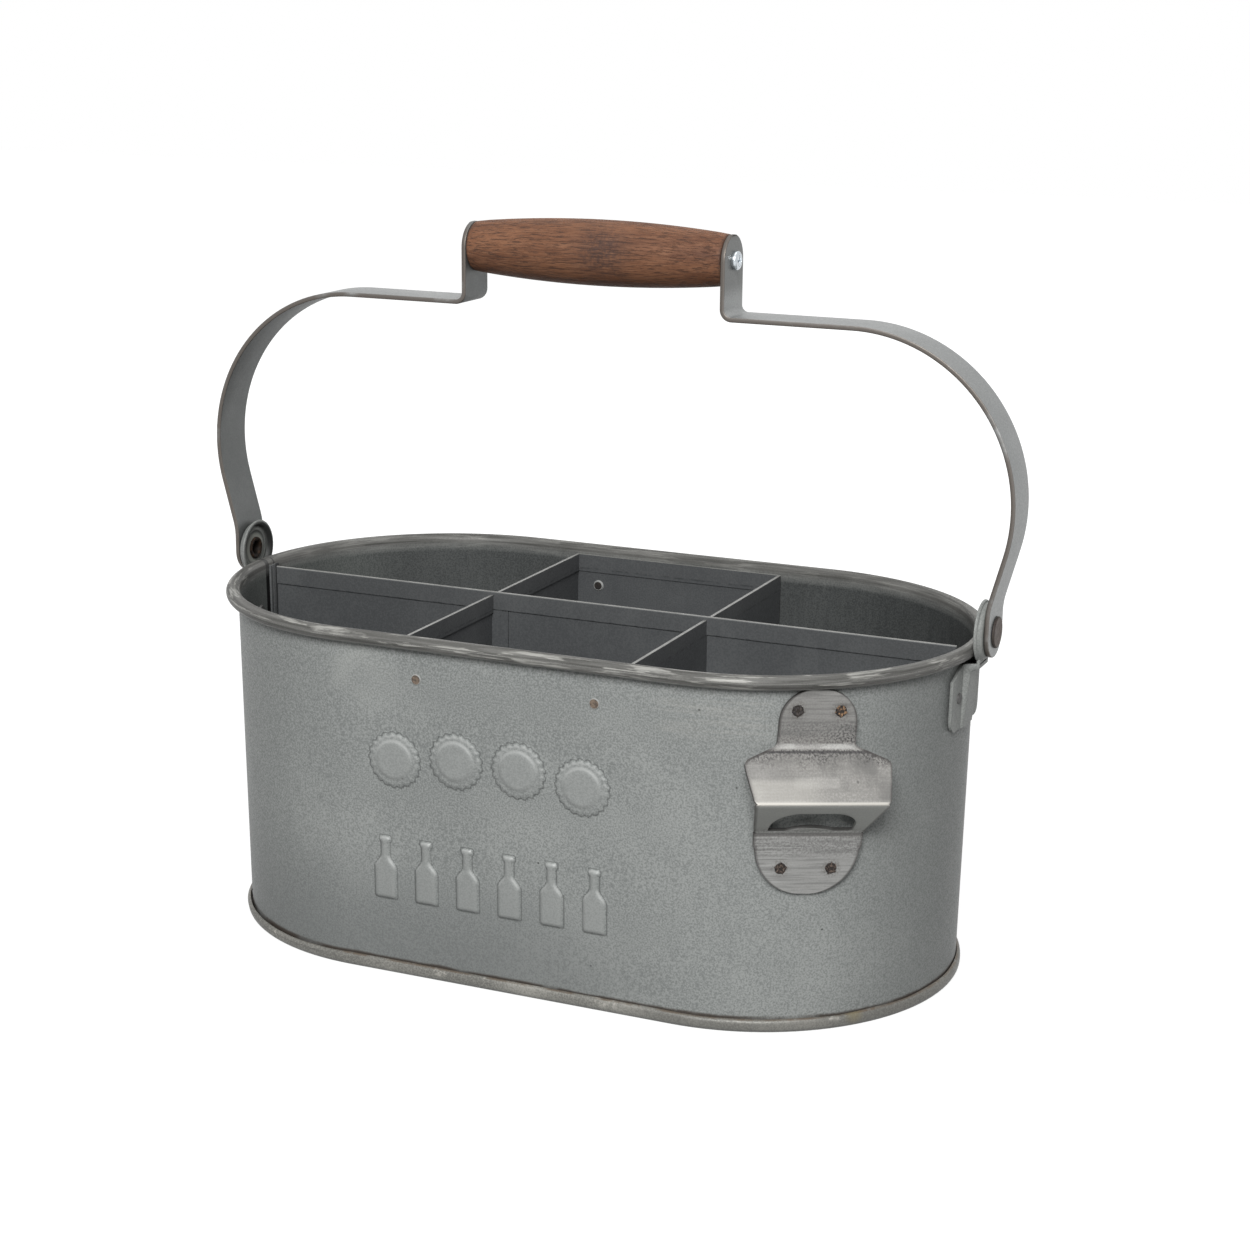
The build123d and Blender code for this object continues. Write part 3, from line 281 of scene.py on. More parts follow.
def smooth(value, low, high):
    """Nought below low, one above high and a soft step between."""
    share = max(0.0, min(1.0, (value - low) / (high - low)))
    return share * share * (3 - 2 * share)


def band(value, start, full, fading, end):
    """One between the two middle limits, fading to nought at the outer ones."""
    return smooth(value, start, full) * (1 - smooth(value, fading, end))


# Modelling steps


def work_on(piece):
    """Make one piece the only selected and active object."""
    bpy.ops.object.select_all(action="DESELECT")
    piece.select_set(True)
    bpy.context.view_layer.objects.active = piece


def edit(piece):
    work_on(piece)
    bpy.ops.object.mode_set(mode="EDIT")


def leave():
    bpy.ops.object.mode_set(mode="OBJECT")


def select_whole():
    bpy.ops.mesh.select_all(action="SELECT")


def begin(name, add, **settings):
    """Add a primitive under a name, with its place and turn in its mesh, and open it for editing."""
    bpy.ops.object.select_all(action="DESELECT")
    add(**settings)
    piece = bpy.context.object
    piece.name = name
    bpy.ops.object.transform_apply(location=True, rotation=True, scale=True)
    edit(piece)
    return piece


def begin_ring(name, sides, radius, place, fill="NGON"):
    """Start a piece from a ring or disc that faces along X."""
    add = bpy.ops.mesh.primitive_circle_add
    return begin(name, add, vertices=sides, radius=radius, fill_type=fill, location=place, rotation=FACING_X)


def begin_rod(name, sides, radius, length, place):
    """Start a piece from a cylinder along X."""
    add = bpy.ops.mesh.primitive_cylinder_add
    return begin(name, add, vertices=sides, radius=radius, depth=length, location=place, rotation=FACING_X)


def begin_block(name, size, place, turn=0.0):
    """Start a piece from a block, turned round X."""
    add = bpy.ops.mesh.primitive_cube_add
    return begin(name, add, size=1, scale=size, location=place, rotation=(turn, 0, 0))


def begin_line(name, place):
    """Start a piece from a single point, ready to be pulled into a line."""
    piece = begin(name, bpy.ops.mesh.primitive_plane_add, size=MM, location=place)
    bpy.ops.mesh.merge(type="CENTER")
    return piece


def pull(x=0.0, y=0.0, z=0.0):
    """Extrude what is selected."""
    bpy.ops.mesh.extrude_context_move(TRANSFORM_OT_translate={"value": (x, y, z)})


def move(x=0.0, y=0.0, z=0.0):
    bpy.ops.transform.translate(value=(x, y, z))


def turn_along(stations):
    """Carry the selected ring along X through pairs of place and radius."""
    select_whole()
    for before, after in zip(stations, stations[1:]):
        pull(x=after[0] - before[0])
        share = after[1] / before[1]
        bpy.ops.transform.resize(value=(1, share, share))


def pick(piece, kind, test):
    """Select the vertices, edges or faces that pass a test."""
    bpy.ops.mesh.select_mode(type={"verts": "VERT", "edges": "EDGE", "faces": "FACE"}[kind])
    bpy.ops.mesh.select_all(action="DESELECT")
    mesh = bmesh.from_edit_mesh(piece.data)
    for item in getattr(mesh, kind):
        if kind == "verts":
            chosen = test(item.co)
        elif kind == "edges":
            chosen = test(item.verts[0].co, item.verts[1].co)
        else:
            chosen = test(item.calc_center_median(), item.normal)
        if chosen:
            item.select_set(True)
    mesh.select_flush_mode()
    bmesh.update_edit_mesh(piece.data)


def spin(angle, steps, centre, axis):
    """Extrude what is selected round an axis, anticlockwise where the axis points at the eye."""
    bpy.ops.mesh.spin(steps=steps, angle=-angle, center=centre, axis=axis)


def bevel_picked(width, segments, affect="EDGES"):
    bpy.ops.mesh.bevel(affect=affect, offset=width, segments=segments)


def tidy(piece):
    """Merge doubles and turn all faces outwards."""
    edit(piece)
    select_whole()
    bpy.ops.mesh.remove_doubles(threshold=MERGE)
    bpy.ops.mesh.normals_make_consistent(inside=False)
    leave()


def apply_modifier(piece, kind, **settings):
    """Add a modifier with its settings and apply it."""
    work_on(piece)
    modifier = piece.modifiers.new(kind.lower(), kind)
    for name, value in settings.items():
        setattr(modifier, name, value)
    bpy.ops.object.modifier_apply(modifier=modifier.name)


def thicken(piece, thickness):
    """Give a sheet its thickness, half to each side."""
    apply_modifier(piece, "SOLIDIFY", thickness=thickness, offset=0, use_even_offset=True)


def soften_edges(piece, width, segments=2, limit=35, clamp=True):
    """Round the piece's sharp edges."""
    apply_modifier(
        piece, "BEVEL", width=width, segments=segments, limit_method="ANGLE",
        angle_limit=math.radians(limit), harden_normals=False, use_clamp_overlap=clamp,
    )


def shade(piece, limit=40):
    work_on(piece)
    bpy.ops.object.shade_smooth_by_angle(angle=math.radians(limit))


def cut(piece, cutter):
    """Cut a piece with another one, which is then removed."""
    leave()
    apply_modifier(piece, "BOOLEAN", operation="DIFFERENCE", object=cutter, solver="EXACT")
    bpy.data.objects.remove(cutter)


def drill(piece, x, z, radius, length):
    """Drill a round hole along X."""
    cut(piece, begin_rod("drill", 40, radius, length, (x, 0, z)))


def mirrored(piece, name):
    """A copy of a piece on the other side of the tub."""
    work_on(piece)
    bpy.ops.object.duplicate()
    copy = bpy.context.object
    copy.name = name
    flip = Matrix.Identity(4)
    flip[0][0] = -1
    copy.data.transform(flip)
    copy.data.flip_normals()
    return copy


def join(name, *pieces):
    """Join pieces into the first and name it."""
    bpy.ops.object.select_all(action="DESELECT")
    for piece in pieces:
        piece.select_set(True)
    bpy.context.view_layer.objects.active = pieces[0]
    bpy.ops.object.join()
    pieces[0].name = name
    return pieces[0]


def paint(piece, name, value):
    """Store a number on each vertex, worked out from its place and normal."""
    layer = piece.data.attributes.new(name, "FLOAT", "POINT")
    for vertex, item in zip(piece.data.vertices, layer.data):
        item.value = value(vertex.co, vertex.normal)


# Tub


def carry_round(piece, front_steps):
    """Carry the profile round the right end, along the back, round the left end and home."""
    select_whole()
    spin(HALF_TURN, ROUND_STEPS, (STRAIGHT_HALF, 0, 0), (0, 0, 1))
    pull(x=-2 * STRAIGHT_HALF)
    spin(HALF_TURN, ROUND_STEPS, (-STRAIGHT_HALF, 0, 0), (0, 0, 1))
    for step in front_steps:
        pull(x=step)
    select_whole()
    bpy.ops.mesh.remove_doubles(threshold=MERGE)


def split_edges(piece, test, width, step):
    """Divide the picked edges into parts about a step long."""
    pick(piece, "edges", test)
    bpy.ops.mesh.subdivide(number_cuts=max(1, round(width / step) - 1))


def cap_relief(x, z):
    """Share of the full height of the row of crown caps at a place on the front."""
    best = 0.0
    for cap in range(CAP_COUNT):
        share = 2 * cap / (CAP_COUNT - 1) - 1
        middle_x = RELIEF_MIDDLE + share * CAP_PITCH * (CAP_COUNT - 1) / 2
        middle_z = CAP_ROW_HEIGHT + CAP_ROW_RISE * (1 - share**2)
        away = math.hypot(x - middle_x, z - middle_z)
        turn = math.atan2(z - middle_z, x - middle_x)
        edge = CAP_RADIUS - CAP_FLUTE_DEPTH * (0.5 + 0.5 * math.cos(CAP_FLUTES * turn))
        skirt = smooth(edge - away, 0, RELIEF_SLOPE)
        crown = smooth(CAP_CROWN_RADIUS - away, 0, RELIEF_SLOPE)
        best = max(best, CAP_SKIRT_SHARE * skirt + (1 - CAP_SKIRT_SHARE) * crown)
    return best


def bottle_relief(x, z):
    """Share of the full height of the row of bottles at a place on the front."""
    start = RELIEF_MIDDLE - BOTTLE_PITCH * (BOTTLE_COUNT - 1) / 2
    place = max(0, min(BOTTLE_COUNT - 1, round((x - start) / BOTTLE_PITCH)))
    aside = abs(x - start - place * BOTTLE_PITCH)
    up = z - BOTTLE_FOOT
    narrowing = smooth(up, BOTTLE_BODY_HEIGHT - RELIEF_STEP, BOTTLE_BODY_HEIGHT + BOTTLE_SHOULDER_HEIGHT)
    lip = smooth(up, BOTTLE_LIP_FOOT - RELIEF_STEP, BOTTLE_LIP_FOOT)
    half = BOTTLE_BODY_HALF + (BOTTLE_NECK_HALF - BOTTLE_BODY_HALF) * narrowing
    half += (BOTTLE_LIP_HALF - BOTTLE_NECK_HALF) * lip
    return smooth(min(half - aside, up, BOTTLE_TOP - up), 0, RELIEF_SLOPE)


def relief_share(place, normal):
    """Share of the full height of the relief, on the sheet before it is pressed."""
    x, y, z = place
    if y < 0 and RELIEF_LEFT < x < RELIEF_RIGHT and RELIEF_LOW < z < RELIEF_HIGH:
        return max(cap_relief(x, z), bottle_relief(x, z))
    return 0.0


def rim_share(place, normal):
    """One on the rolled rim."""
    away = math.hypot(from_spine(place)[0] - RIM_CENTRE_OUT, place.z - RIM_CENTRE_HEIGHT)
    rolled = away < RIM_RADIUS + SHEET and place.z > RIM_CENTRE_HEIGHT - RIM_RADIUS - SHEET
    return 1.0 if rolled else 0.0


def inside_share(place, normal):
    """One on the inside of the wall."""
    return 1.0 if normal.dot(from_spine(place)[1]) < 0 and place.z < RIM_CENTRE_HEIGHT else 0.0


def cross_place(place, normal):
    """Place across the sheet: the height on the wall, then the way round the rim."""
    if not rim_share(place, normal):
        return place.z
    turn = math.atan2(place.z - RIM_CENTRE_HEIGHT, from_spine(place)[0] - RIM_CENTRE_OUT)
    return RIM_CENTRE_HEIGHT + RIM_RADIUS * (turn % FULL_TURN - HALF_TURN)


def make_tub_shell():
    """The wall with its rolled rim, one sheet carried round the tub and pressed at the front."""
    start = (STRAIGHT_HALF, -RIM_CENTRE_OUT, RIM_CENTRE_HEIGHT)
    shell = begin_ring("tub_wall", RIM_SIDES, RIM_RADIUS - SHEET / 2, start, "NOTHING")

    def in_mouth(place):
        turn = math.atan2(place.z - RIM_CENTRE_HEIGHT, -place.y - RIM_CENTRE_OUT) % FULL_TURN
        return RIM_MOUTH_START < turn < RIM_MOUTH_END

    pick(shell, "verts", in_mouth)
    bpy.ops.mesh.delete(type="VERT")
    pick(shell, "verts", lambda place: abs(-place.y - WALL_TOP_OUT + SHEET / 2) < SHEET_GAP)
    relief_middle = (RELIEF_LOW + RELIEF_HIGH) / 2
    levels = (RIM_CENTRE_HEIGHT, RELIEF_HIGH, relief_middle, RELIEF_LOW, 1.5 * SHEET + SHEET_GAP)
    for upper, lower in zip(levels, levels[1:]):
        pull(y=wall_out(upper) - wall_out(lower), z=lower - upper)
    pull(y=-2 * SHEET)
    for band, step in ((1, RELIEF_STEP), (2, RELIEF_STEP), (0, WALL_STEP), (3, WALL_STEP)):
        upper = levels[band]
        lower = levels[band + 1]

        def spans_band(a, b):
            return abs(a.z - b.z) > upper - lower - MM and lower - MM < (a.z + b.z) / 2 < upper + MM

        split_edges(shell, spans_band, upper - lower, step)
    relief_half = (RELIEF_RIGHT - RELIEF_LEFT) / 2
    relief_centre = RELIEF_LEFT + relief_half
    carry_round(shell, (RELIEF_LEFT + STRAIGHT_HALF, relief_half, relief_half, STRAIGHT_HALF - RELIEF_RIGHT))

    def spans_relief(a, b):
        reach = max(abs(a.x - relief_centre), abs(b.x - relief_centre))
        return a.y < 0 and abs(abs(a.x - b.x) - relief_half) < MM and reach < relief_half + MM

    split_edges(shell, spans_relief, relief_half, RELIEF_STEP)
    leave()
    paint(shell, "relief", relief_share)
    for vertex, item in zip(shell.data.vertices, shell.data.attributes["relief"].data):
        vertex.co.y -= item.value * RELIEF_HEIGHT
    tidy(shell)
    thicken(shell, SHEET)
    paint(shell, "cross", cross_place)
    paint(shell, "rim", rim_share)
    paint(shell, "inside", inside_share)
    shade(shell, 50)
    return shell


def make_wall_seam():
    """The lock seam inside the left end: a flat fold between two narrow ones."""
    root = SHEET / 2
    low = FLOOR_RISE + 2 * SHEET
    middle = (low + RIM_CENTRE_HEIGHT) / 2
    strips = []
    for across, width, rise in SEAM_STRIPS:
        thickness = SHEET - root + SEAM_PROUD * rise
        place = (root + thickness / 2 - STRAIGHT_HALF - wall_out(middle), across, middle)
        strip = begin_block("wall_seam", (thickness, width, RIM_CENTRE_HEIGHT - low), place)
        pick(strip, "verts", lambda place: place.z > middle)
        move(x=wall_out(middle) - wall_out(RIM_CENTRE_HEIGHT))
        pick(strip, "verts", lambda place: place.z < middle)
        move(x=wall_out(middle) - wall_out(low))
        leave()
        soften_edges(strip, SEAM_EDGE, 3)
        strips.append(strip)
    seam = join("wall_seam", *strips)
    shade(seam)
    return seam


def make_base_pan():
    """The floor pan: a sheet that goes under the wall and up outside it as a bead."""
    half = SHEET / 2
    lip = wall_out(BEAD_HEIGHT) + SHEET_GAP + half
    leg = wall_out(SHEET) - SHEET - SHEET_GAP - half
    pan = begin_line("floor_pan", (STRAIGHT_HALF, -lip, BEAD_HEIGHT - half))
    pull(y=lip - BEAD_OUT + half)
    pull(z=2 * half - BEAD_HEIGHT)
    pull(y=BEAD_OUT - half - leg)
    pull(z=FLOOR_RISE)
    pick(pan, "verts", lambda place: abs(-place.y - BEAD_OUT + half) < SHEET_GAP)
    bevel_picked(BEAD_ROUND, 5, "VERTICES")
    carry_round(pan, (2 * STRAIGHT_HALF,))

    def floor_edge(a, b):
        reach = max(from_spine(a)[0], from_spine(b)[0])
        return min(a.z, b.z) > FLOOR_RISE and reach < leg + SHEET_GAP

    pick(pan, "edges", floor_edge)
    bpy.ops.mesh.edge_face_add()
    leave()
    tidy(pan)
    thicken(pan, SHEET)

    # The lip waves a little and is sprung out near the left of the front.
    rough = random.Random(5)
    waves = [(rough.uniform(3, 40), rough.uniform(0, FULL_TURN)) for wave in range(7)]
    for vertex in pan.data.vertices:
        out, away = from_spine(vertex.co)
        if out > leg + SHEET and vertex.co.z > BEAD_HEIGHT - 2 * SHEET:
            turn = math.atan2(vertex.co.y, vertex.co.x)
            sway = sum(math.sin(speed * turn + start) for speed, start in waves) / len(waves)
            sprung = band(vertex.co.x, *LIP_SPRUNG) if vertex.co.y < 0 else 0
            vertex.co.z += LIP_SWAY * sway - LIP_SPRUNG_DROP * sprung
            vertex.co += away * (LIP_SPRUNG_OUT + LIP_SPRUNG_SWAY * sway) * sprung
    shade(pan, 50)
    return pan


# Bail


def strap_edge_share(place, normal):
    """One on the strap's worn edges."""
    middle = max(PIVOT_HEIGHT, min(GRIP_HEIGHT, place.z))
    across = math.hypot(place.y, place.z - middle)
    return smooth(across, STRAP_RADIUS - STRAP_EDGE + 0.03 * MM, STRAP_RADIUS - 0.1 * MM)


def make_strap():
    """The right strap: a half disc pulled up, bent out, carried over the shoulder and up the tab."""
    inside = EAR_OUTSIDE + RUN_GAP
    foot = (inside + STRAP_THICKNESS / 2, 0, PIVOT_HEIGHT)
    strap = begin_rod("bail_strap_right", 64, STRAP_RADIUS, STRAP_THICKNESS, foot)
    select_whole()
    bpy.ops.mesh.bisect(plane_co=foot, plane_no=(0, 0, 1), clear_outer=True, use_fill=True)
    arm_height = PIVOT_HEIGHT + ARM_RISE
    shoulder_x = BAIL_REACH - SHOULDER_RADIUS * (1 - math.cos(STRAP_FLARE))
    shoulder_z = arm_height - SHOULDER_RADIUS * (1 + math.sin(STRAP_FLARE))
    leg = (shoulder_x - inside - EAR_BEND_RADIUS * (1 - math.cos(STRAP_FLARE))) / math.sin(STRAP_FLARE)
    bend_start = shoulder_z - leg * math.cos(STRAP_FLARE) - EAR_BEND_RADIUS * math.sin(STRAP_FLARE)
    pick(strap, "faces", lambda middle, normal: normal.z > 0.99)
    pull(z=bend_start - PIVOT_HEIGHT)
    spin(STRAP_FLARE, 5, (inside + EAR_BEND_RADIUS, 0, bend_start), (0, 1, 0))
    pull(x=leg * math.sin(STRAP_FLARE), z=leg * math.cos(STRAP_FLARE))
    shoulder_centre = (BAIL_REACH - SHOULDER_RADIUS, 0, arm_height - SHOULDER_RADIUS)
    spin(-QUARTER_TURN - STRAP_FLARE, 42, shoulder_centre, (0, 1, 0))
    pull(x=TAB_INSIDE + TAB_BEND_RADIUS - shoulder_centre[0])
    spin(QUARTER_TURN, 10, (TAB_INSIDE + TAB_BEND_RADIUS, 0, arm_height + TAB_BEND_RADIUS), (0, 1, 0))
    pull(z=GRIP_HEIGHT - arm_height - TAB_BEND_RADIUS)
    stations = [math.radians(7 * step) for step in range(13)]
    for before, after in zip(stations, stations[1:]):
        pull(z=STRAP_RADIUS * (math.sin(after) - math.sin(before)))
        bpy.ops.transform.resize(value=(1, math.cos(after) / math.cos(before), 1))
    leave()
    tidy(strap)
    drill(strap, foot[0], PIVOT_HEIGHT, PIVOT_HOLE, 4 * STRAP_THICKNESS)
    drill(strap, TAB_INSIDE + STRAP_THICKNESS / 2, GRIP_HEIGHT, GRIP_HOLE, 4 * STRAP_THICKNESS)
    soften_edges(strap, STRAP_EDGE, 3, 40, clamp=False)
    paint(strap, "edge", strap_edge_share)
    # The faces inside the loop, which the strap's material paints in shade.
    paint(strap, "inner", lambda place, normal: 1.0 if normal.x + normal.z < 0 else 0.0)
    shade(strap)
    return strap


def make_grip():
    """The turned grip, a slow swell with softened ends."""
    half = grip_high.x
    end = GRIP_END_RADIUS - GRIP_EDGE
    grip = begin_ring("wood_handle", 72, end, (-half, 0, GRIP_HEIGHT))
    stations = [(-half, end)]
    for step in range(1, 5):
        turn = QUARTER_TURN * step / 4
        stations.append((-half + GRIP_EDGE * (1 - math.cos(turn)), end + GRIP_EDGE * math.sin(turn)))
    for step in range(1, GRIP_STATIONS):
        place = -half + GRIP_EDGE + step * (2 * half - 2 * GRIP_EDGE) / GRIP_STATIONS
        swell = (grip_high.y - GRIP_END_RADIUS) * (1 - (place / half) ** 2)
        stations.append((place, GRIP_END_RADIUS + swell))
    stations += [(-place, radius) for place, radius in reversed(stations[:5])]
    turn_along(stations)
    leave()
    tidy(grip)
    for side in (-1, 1):
        drill(grip, side * half, GRIP_HEIGHT, GRIP_HOLE, 50 * MM)
    shade(grip, 30)
    return grip


def make_grip_screw():
    """The right grip screw: a pan head with a cross recess on a plain shank."""
    head_foot = TAB_INSIDE + STRAP_THICKNESS
    middle = head_foot + SCREW_HEAD_HEIGHT / 2
    name = "grip_screw_right"
    screw = begin_rod(name, 48, SCREW_HEAD_RADIUS, SCREW_HEAD_HEIGHT, (middle, 0, GRIP_HEIGHT))
    pick(screw, "edges", lambda a, b: min(a.x, b.x) > middle)
    bevel_picked(SCREW_HEAD_ROUND, 6)
    leave()
    for turn in (0, QUARTER_TURN):
        cut(screw, begin_block("slot", SCREW_RECESS, (head_foot + SCREW_HEAD_HEIGHT, 0, GRIP_HEIGHT), turn))
    soften_edges(screw, SCREW_EDGE, 2, 40)
    place = (head_foot - SCREW_SHANK_MIDDLE, 0, GRIP_HEIGHT)
    shank = begin_rod("shank", 32, SCREW_SHANK_RADIUS, SCREW_SHANK_LENGTH, place)
    pick(shank, "faces", lambda middle, normal: normal.x < -0.9)
    bpy.ops.mesh.inset(thickness=SCREW_TIP_INSET, depth=SCREW_TIP_LENGTH)
    leave()
    screw = join(name, screw, shank)
    shade(screw, 35)
    return screw


# Ear brackets and pivots


def channel_out(height):
    """Distance of the channel's middle from the tub's middle at a height."""
    shelf = STRAIGHT_HALF + wall_out(CHANNEL_SHELF) + CHANNEL_HIGH_DEPTH + EAR_PLATE / 2
    foot = STRAIGHT_HALF + wall_out(CHANNEL_FOOT) + CHANNEL_LOW_DEPTH + EAR_PLATE / 2
    if height > CHANNEL_SHELF:
        return shelf + (EAR_MIDDLE - shelf) * smooth(height, CHANNEL_SHELF, CHANNEL_TOP - EAR_PLATE)
    return foot + (shelf - foot) * (height - CHANNEL_FOOT) / (CHANNEL_SHELF - CHANNEL_FOOT)


def ear_dirt_and_shade(place, normal):
    """Dirt and painted shade in the grooves of the dish, seen from inside."""
    out = math.hypot(place.y, place.z - PIVOT_HEIGHT)
    rear = 0.65 + 0.35 * place.y / max(out, MM)
    dirt = band(out, *DISH_GROOVE) * rear + 0.7 * band(out, *DISH_RING)
    return dirt if normal.x < 0.3 else 0


def make_ear_bracket():
    """The right bracket: a dished ear, a raised channel and two wings, pressed from one sheet."""
    name = "ear_bracket_right"
    plate = begin(name, bpy.ops.mesh.primitive_grid_add, x_subdivisions=90, y_subdivisions=50, size=2)
    leave()
    inner = CHANNEL_HALF - EAR_PLATE / 2
    for vertex in plate.data.vertices:
        share = vertex.co.x
        y = WING_REACH * (1.25 * share - 0.25 * share * abs(share))
        top = WING_TOP - WING_SLOPE_DROP * max(0, abs(y) - inner) / (WING_REACH - inner)
        reach = max(0, abs(y) - WING_REACH + WING_ROUND)
        bottom = WING_BOTTOM + WING_ROUND - math.sqrt(max(0, WING_ROUND**2 - reach**2))
        z = bottom + (top - bottom) * (vertex.co.y + 1) / 2
        wall = STRAIGHT_HALF + math.sqrt(wall_out(z) ** 2 - y**2) + SHEET_GAP + EAR_PLATE / 2
        raised = 1 - smooth(abs(y), CHANNEL_HALF - 1.2 * MM, CHANNEL_HALF + 0.2 * MM)
        lift = WING_LIFT * smooth(abs(y), WING_RIVET_OUT, WING_REACH)
        vertex.co = (wall + lift + max(0, channel_out(z) - wall) * raised, y, z)
    thicken(plate, EAR_PLATE)
    soften_edges(plate, EAR_EDGE, 2, 50)
    foot = CHANNEL_TOP - 2 * EAR_PLATE
    top = PIVOT_HEIGHT - EAR_RADIUS + 2 * EAR_PLATE
    neck = begin_block("neck", (EAR_PLATE, NECK_WIDTH, top - foot), (EAR_MIDDLE, 0, (foot + top) / 2))
    leave()
    soften_edges(neck, NECK_EDGE)
    ear = begin_ring("ear", 96, EAR_RADIUS - EAR_PLATE / 2, (EAR_MIDDLE, 0, PIVOT_HEIGHT))
    select_whole()
    for inward, outward in EAR_RINGS:
        bpy.ops.mesh.inset(thickness=inward * MM)
        move(x=outward * MM)
    leave()
    thicken(ear, EAR_PLATE)
    soften_edges(ear, EAR_EDGE, 2, 50)
    drill(ear, EAR_INSIDE, PIVOT_HEIGHT, PIVOT_HOLE, 16 * MM)
    paint(ear, "edge", ear_dirt_and_shade)
    bracket = join(name, plate, neck, ear)
    shade(bracket, 50)
    return bracket


def make_pivot_rivet():
    """The right pivot: a thin flat head outside and a hollow clinched end inside the dish."""
    rivet_low, rivet_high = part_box("right_pivot_rivet")
    foot = EAR_OUTSIDE + 2 * RUN_GAP + STRAP_THICKNESS
    place = ((foot + rivet_high.x) / 2, 0, PIVOT_HEIGHT)
    name = "pivot_rivet_right"
    head = begin_rod(name, 64, PIVOT_HEAD_RADIUS, rivet_high.x - foot, place)
    pick(head, "edges", lambda a, b: min(a.x, b.x) > rivet_high.x - SHEET_GAP)
    bevel_picked(PIVOT_HEAD_ROUND, 4)
    pick(head, "faces", lambda middle, normal: normal.x > 0.99)
    for inward in PIVOT_HEAD_INSETS:
        bpy.ops.mesh.inset(thickness=inward)
    move(x=-PIVOT_HEAD_DIP)
    leave()
    stations = [(rivet_low.x + along * MM, radius * MM) for along, radius in CLINCH_RINGS]
    stations.insert(0, (foot, stations[0][1]))
    shank = begin_ring("shank", 56, stations[0][1], (foot, 0, PIVOT_HEIGHT))
    turn_along(stations)
    leave()
    tidy(shank)
    rivet = join(name, head, shank)
    shade(rivet, 35)
    return rivet


# Opener


def opener_half(up):
    """Half width of the opener's outline at a height on its plane."""
    points = (
        (OPENER_BOTTOM, OPENER_LOWER_HALF - 1.2 * MM), (OPENER_LOWER_FOLD, OPENER_LOWER_HALF),
        (OPENER_RIDGE, OPENER_RIDGE_HALF), (OPENER_SHOULDER, OPENER_SHOULDER_HALF),
    )
    flare = (OPENER_UPPER_FOLD - up) * (OPENER_SHOULDER_HALF - OPENER_NECK_HALF)
    flare /= OPENER_UPPER_FOLD - OPENER_SHOULDER
    half = OPENER_NECK_HALF + (flare + math.hypot(flare, OPENER_NECK_SOFT)) / 2
    for (low, near), (high, far) in zip(points, points[1:]):
        if low <= up <= high:
            side = near + (far - near) * (up - low) / (high - low)
            half = (half + side - math.hypot(half - side, OPENER_NECK_SOFT)) / 2
    drop = OPENER_BOTTOM + OPENER_BOTTOM_ROUND - up
    rise = up - OPENER_TOP + OPENER_TOP_ROUND
    for past, corner_half, corner in (
        (drop, OPENER_LOWER_HALF - 1 * MM, OPENER_BOTTOM_ROUND),
        (rise, OPENER_NECK_HALF, OPENER_TOP_ROUND),
    ):
        if past > 0:
            half = min(half, corner_half - corner + corner * math.sqrt(max(0, 1 - (past / corner) ** 2)))
    return half


def opener_out(up):
    """How far the plate's middle stands out at a height, before its bends are rounded."""
    base = SHEET_GAP + OPENER_PLATE / 2
    reach = OPENER_RIDGE_OUT - OPENER_PLATE / 2 - base
    if up > OPENER_UPPER_FOLD or up < OPENER_LOWER_FOLD:
        return base
    if up > OPENER_RIDGE:
        return base + reach * (OPENER_UPPER_FOLD - up) / (OPENER_UPPER_FOLD - OPENER_RIDGE)
    return base + reach * (up - OPENER_LOWER_FOLD) / (OPENER_RIDGE - OPENER_LOWER_FOLD)


def mouth_inside(along, up):
    """Positive inside the mouth's outline on the web, which runs up from the lower fold."""
    corner_x = abs(along) - (MOUTH_HALF - MOUTH_ROUND)
    corner_y = up - (MOUTH_HIGH - MOUTH_ROUND)
    if corner_x > 0 and corner_y > 0:
        box = MOUTH_ROUND - math.hypot(corner_x, corner_y)
    else:
        box = MOUTH_ROUND - max(corner_x, corner_y)
    radius = (TONGUE_HALF**2 + TONGUE_RISE**2) / (2 * TONGUE_RISE)
    tongue = math.hypot(along, up - MOUTH_LOW - TONGUE_RISE + radius) - radius
    return min(box, up - MOUTH_LOW, tongue)


def opener_rows():
    """Heights of the rows of faces: fine round the ends, and one row on every fold."""
    round_foot = OPENER_BOTTOM + OPENER_BOTTOM_ROUND
    round_head = OPENER_TOP - OPENER_TOP_ROUND
    rows = [round_foot - OPENER_BOTTOM_ROUND * math.cos(QUARTER_TURN * turn / 22) for turn in range(1, 22)]
    folds = (round_foot, OPENER_LOWER_FOLD, OPENER_RIDGE, OPENER_SHOULDER, OPENER_UPPER_FOLD, round_head)
    for low, high in zip(folds, folds[1:]):
        count = max(2, round((high - low) / OPENER_ROW))
        rows += [low + (high - low) * place / count for place in range(count)]
    rows += [round_head + OPENER_TOP_ROUND * math.sin(QUARTER_TURN * turn / 16) for turn in range(16)]
    return rows


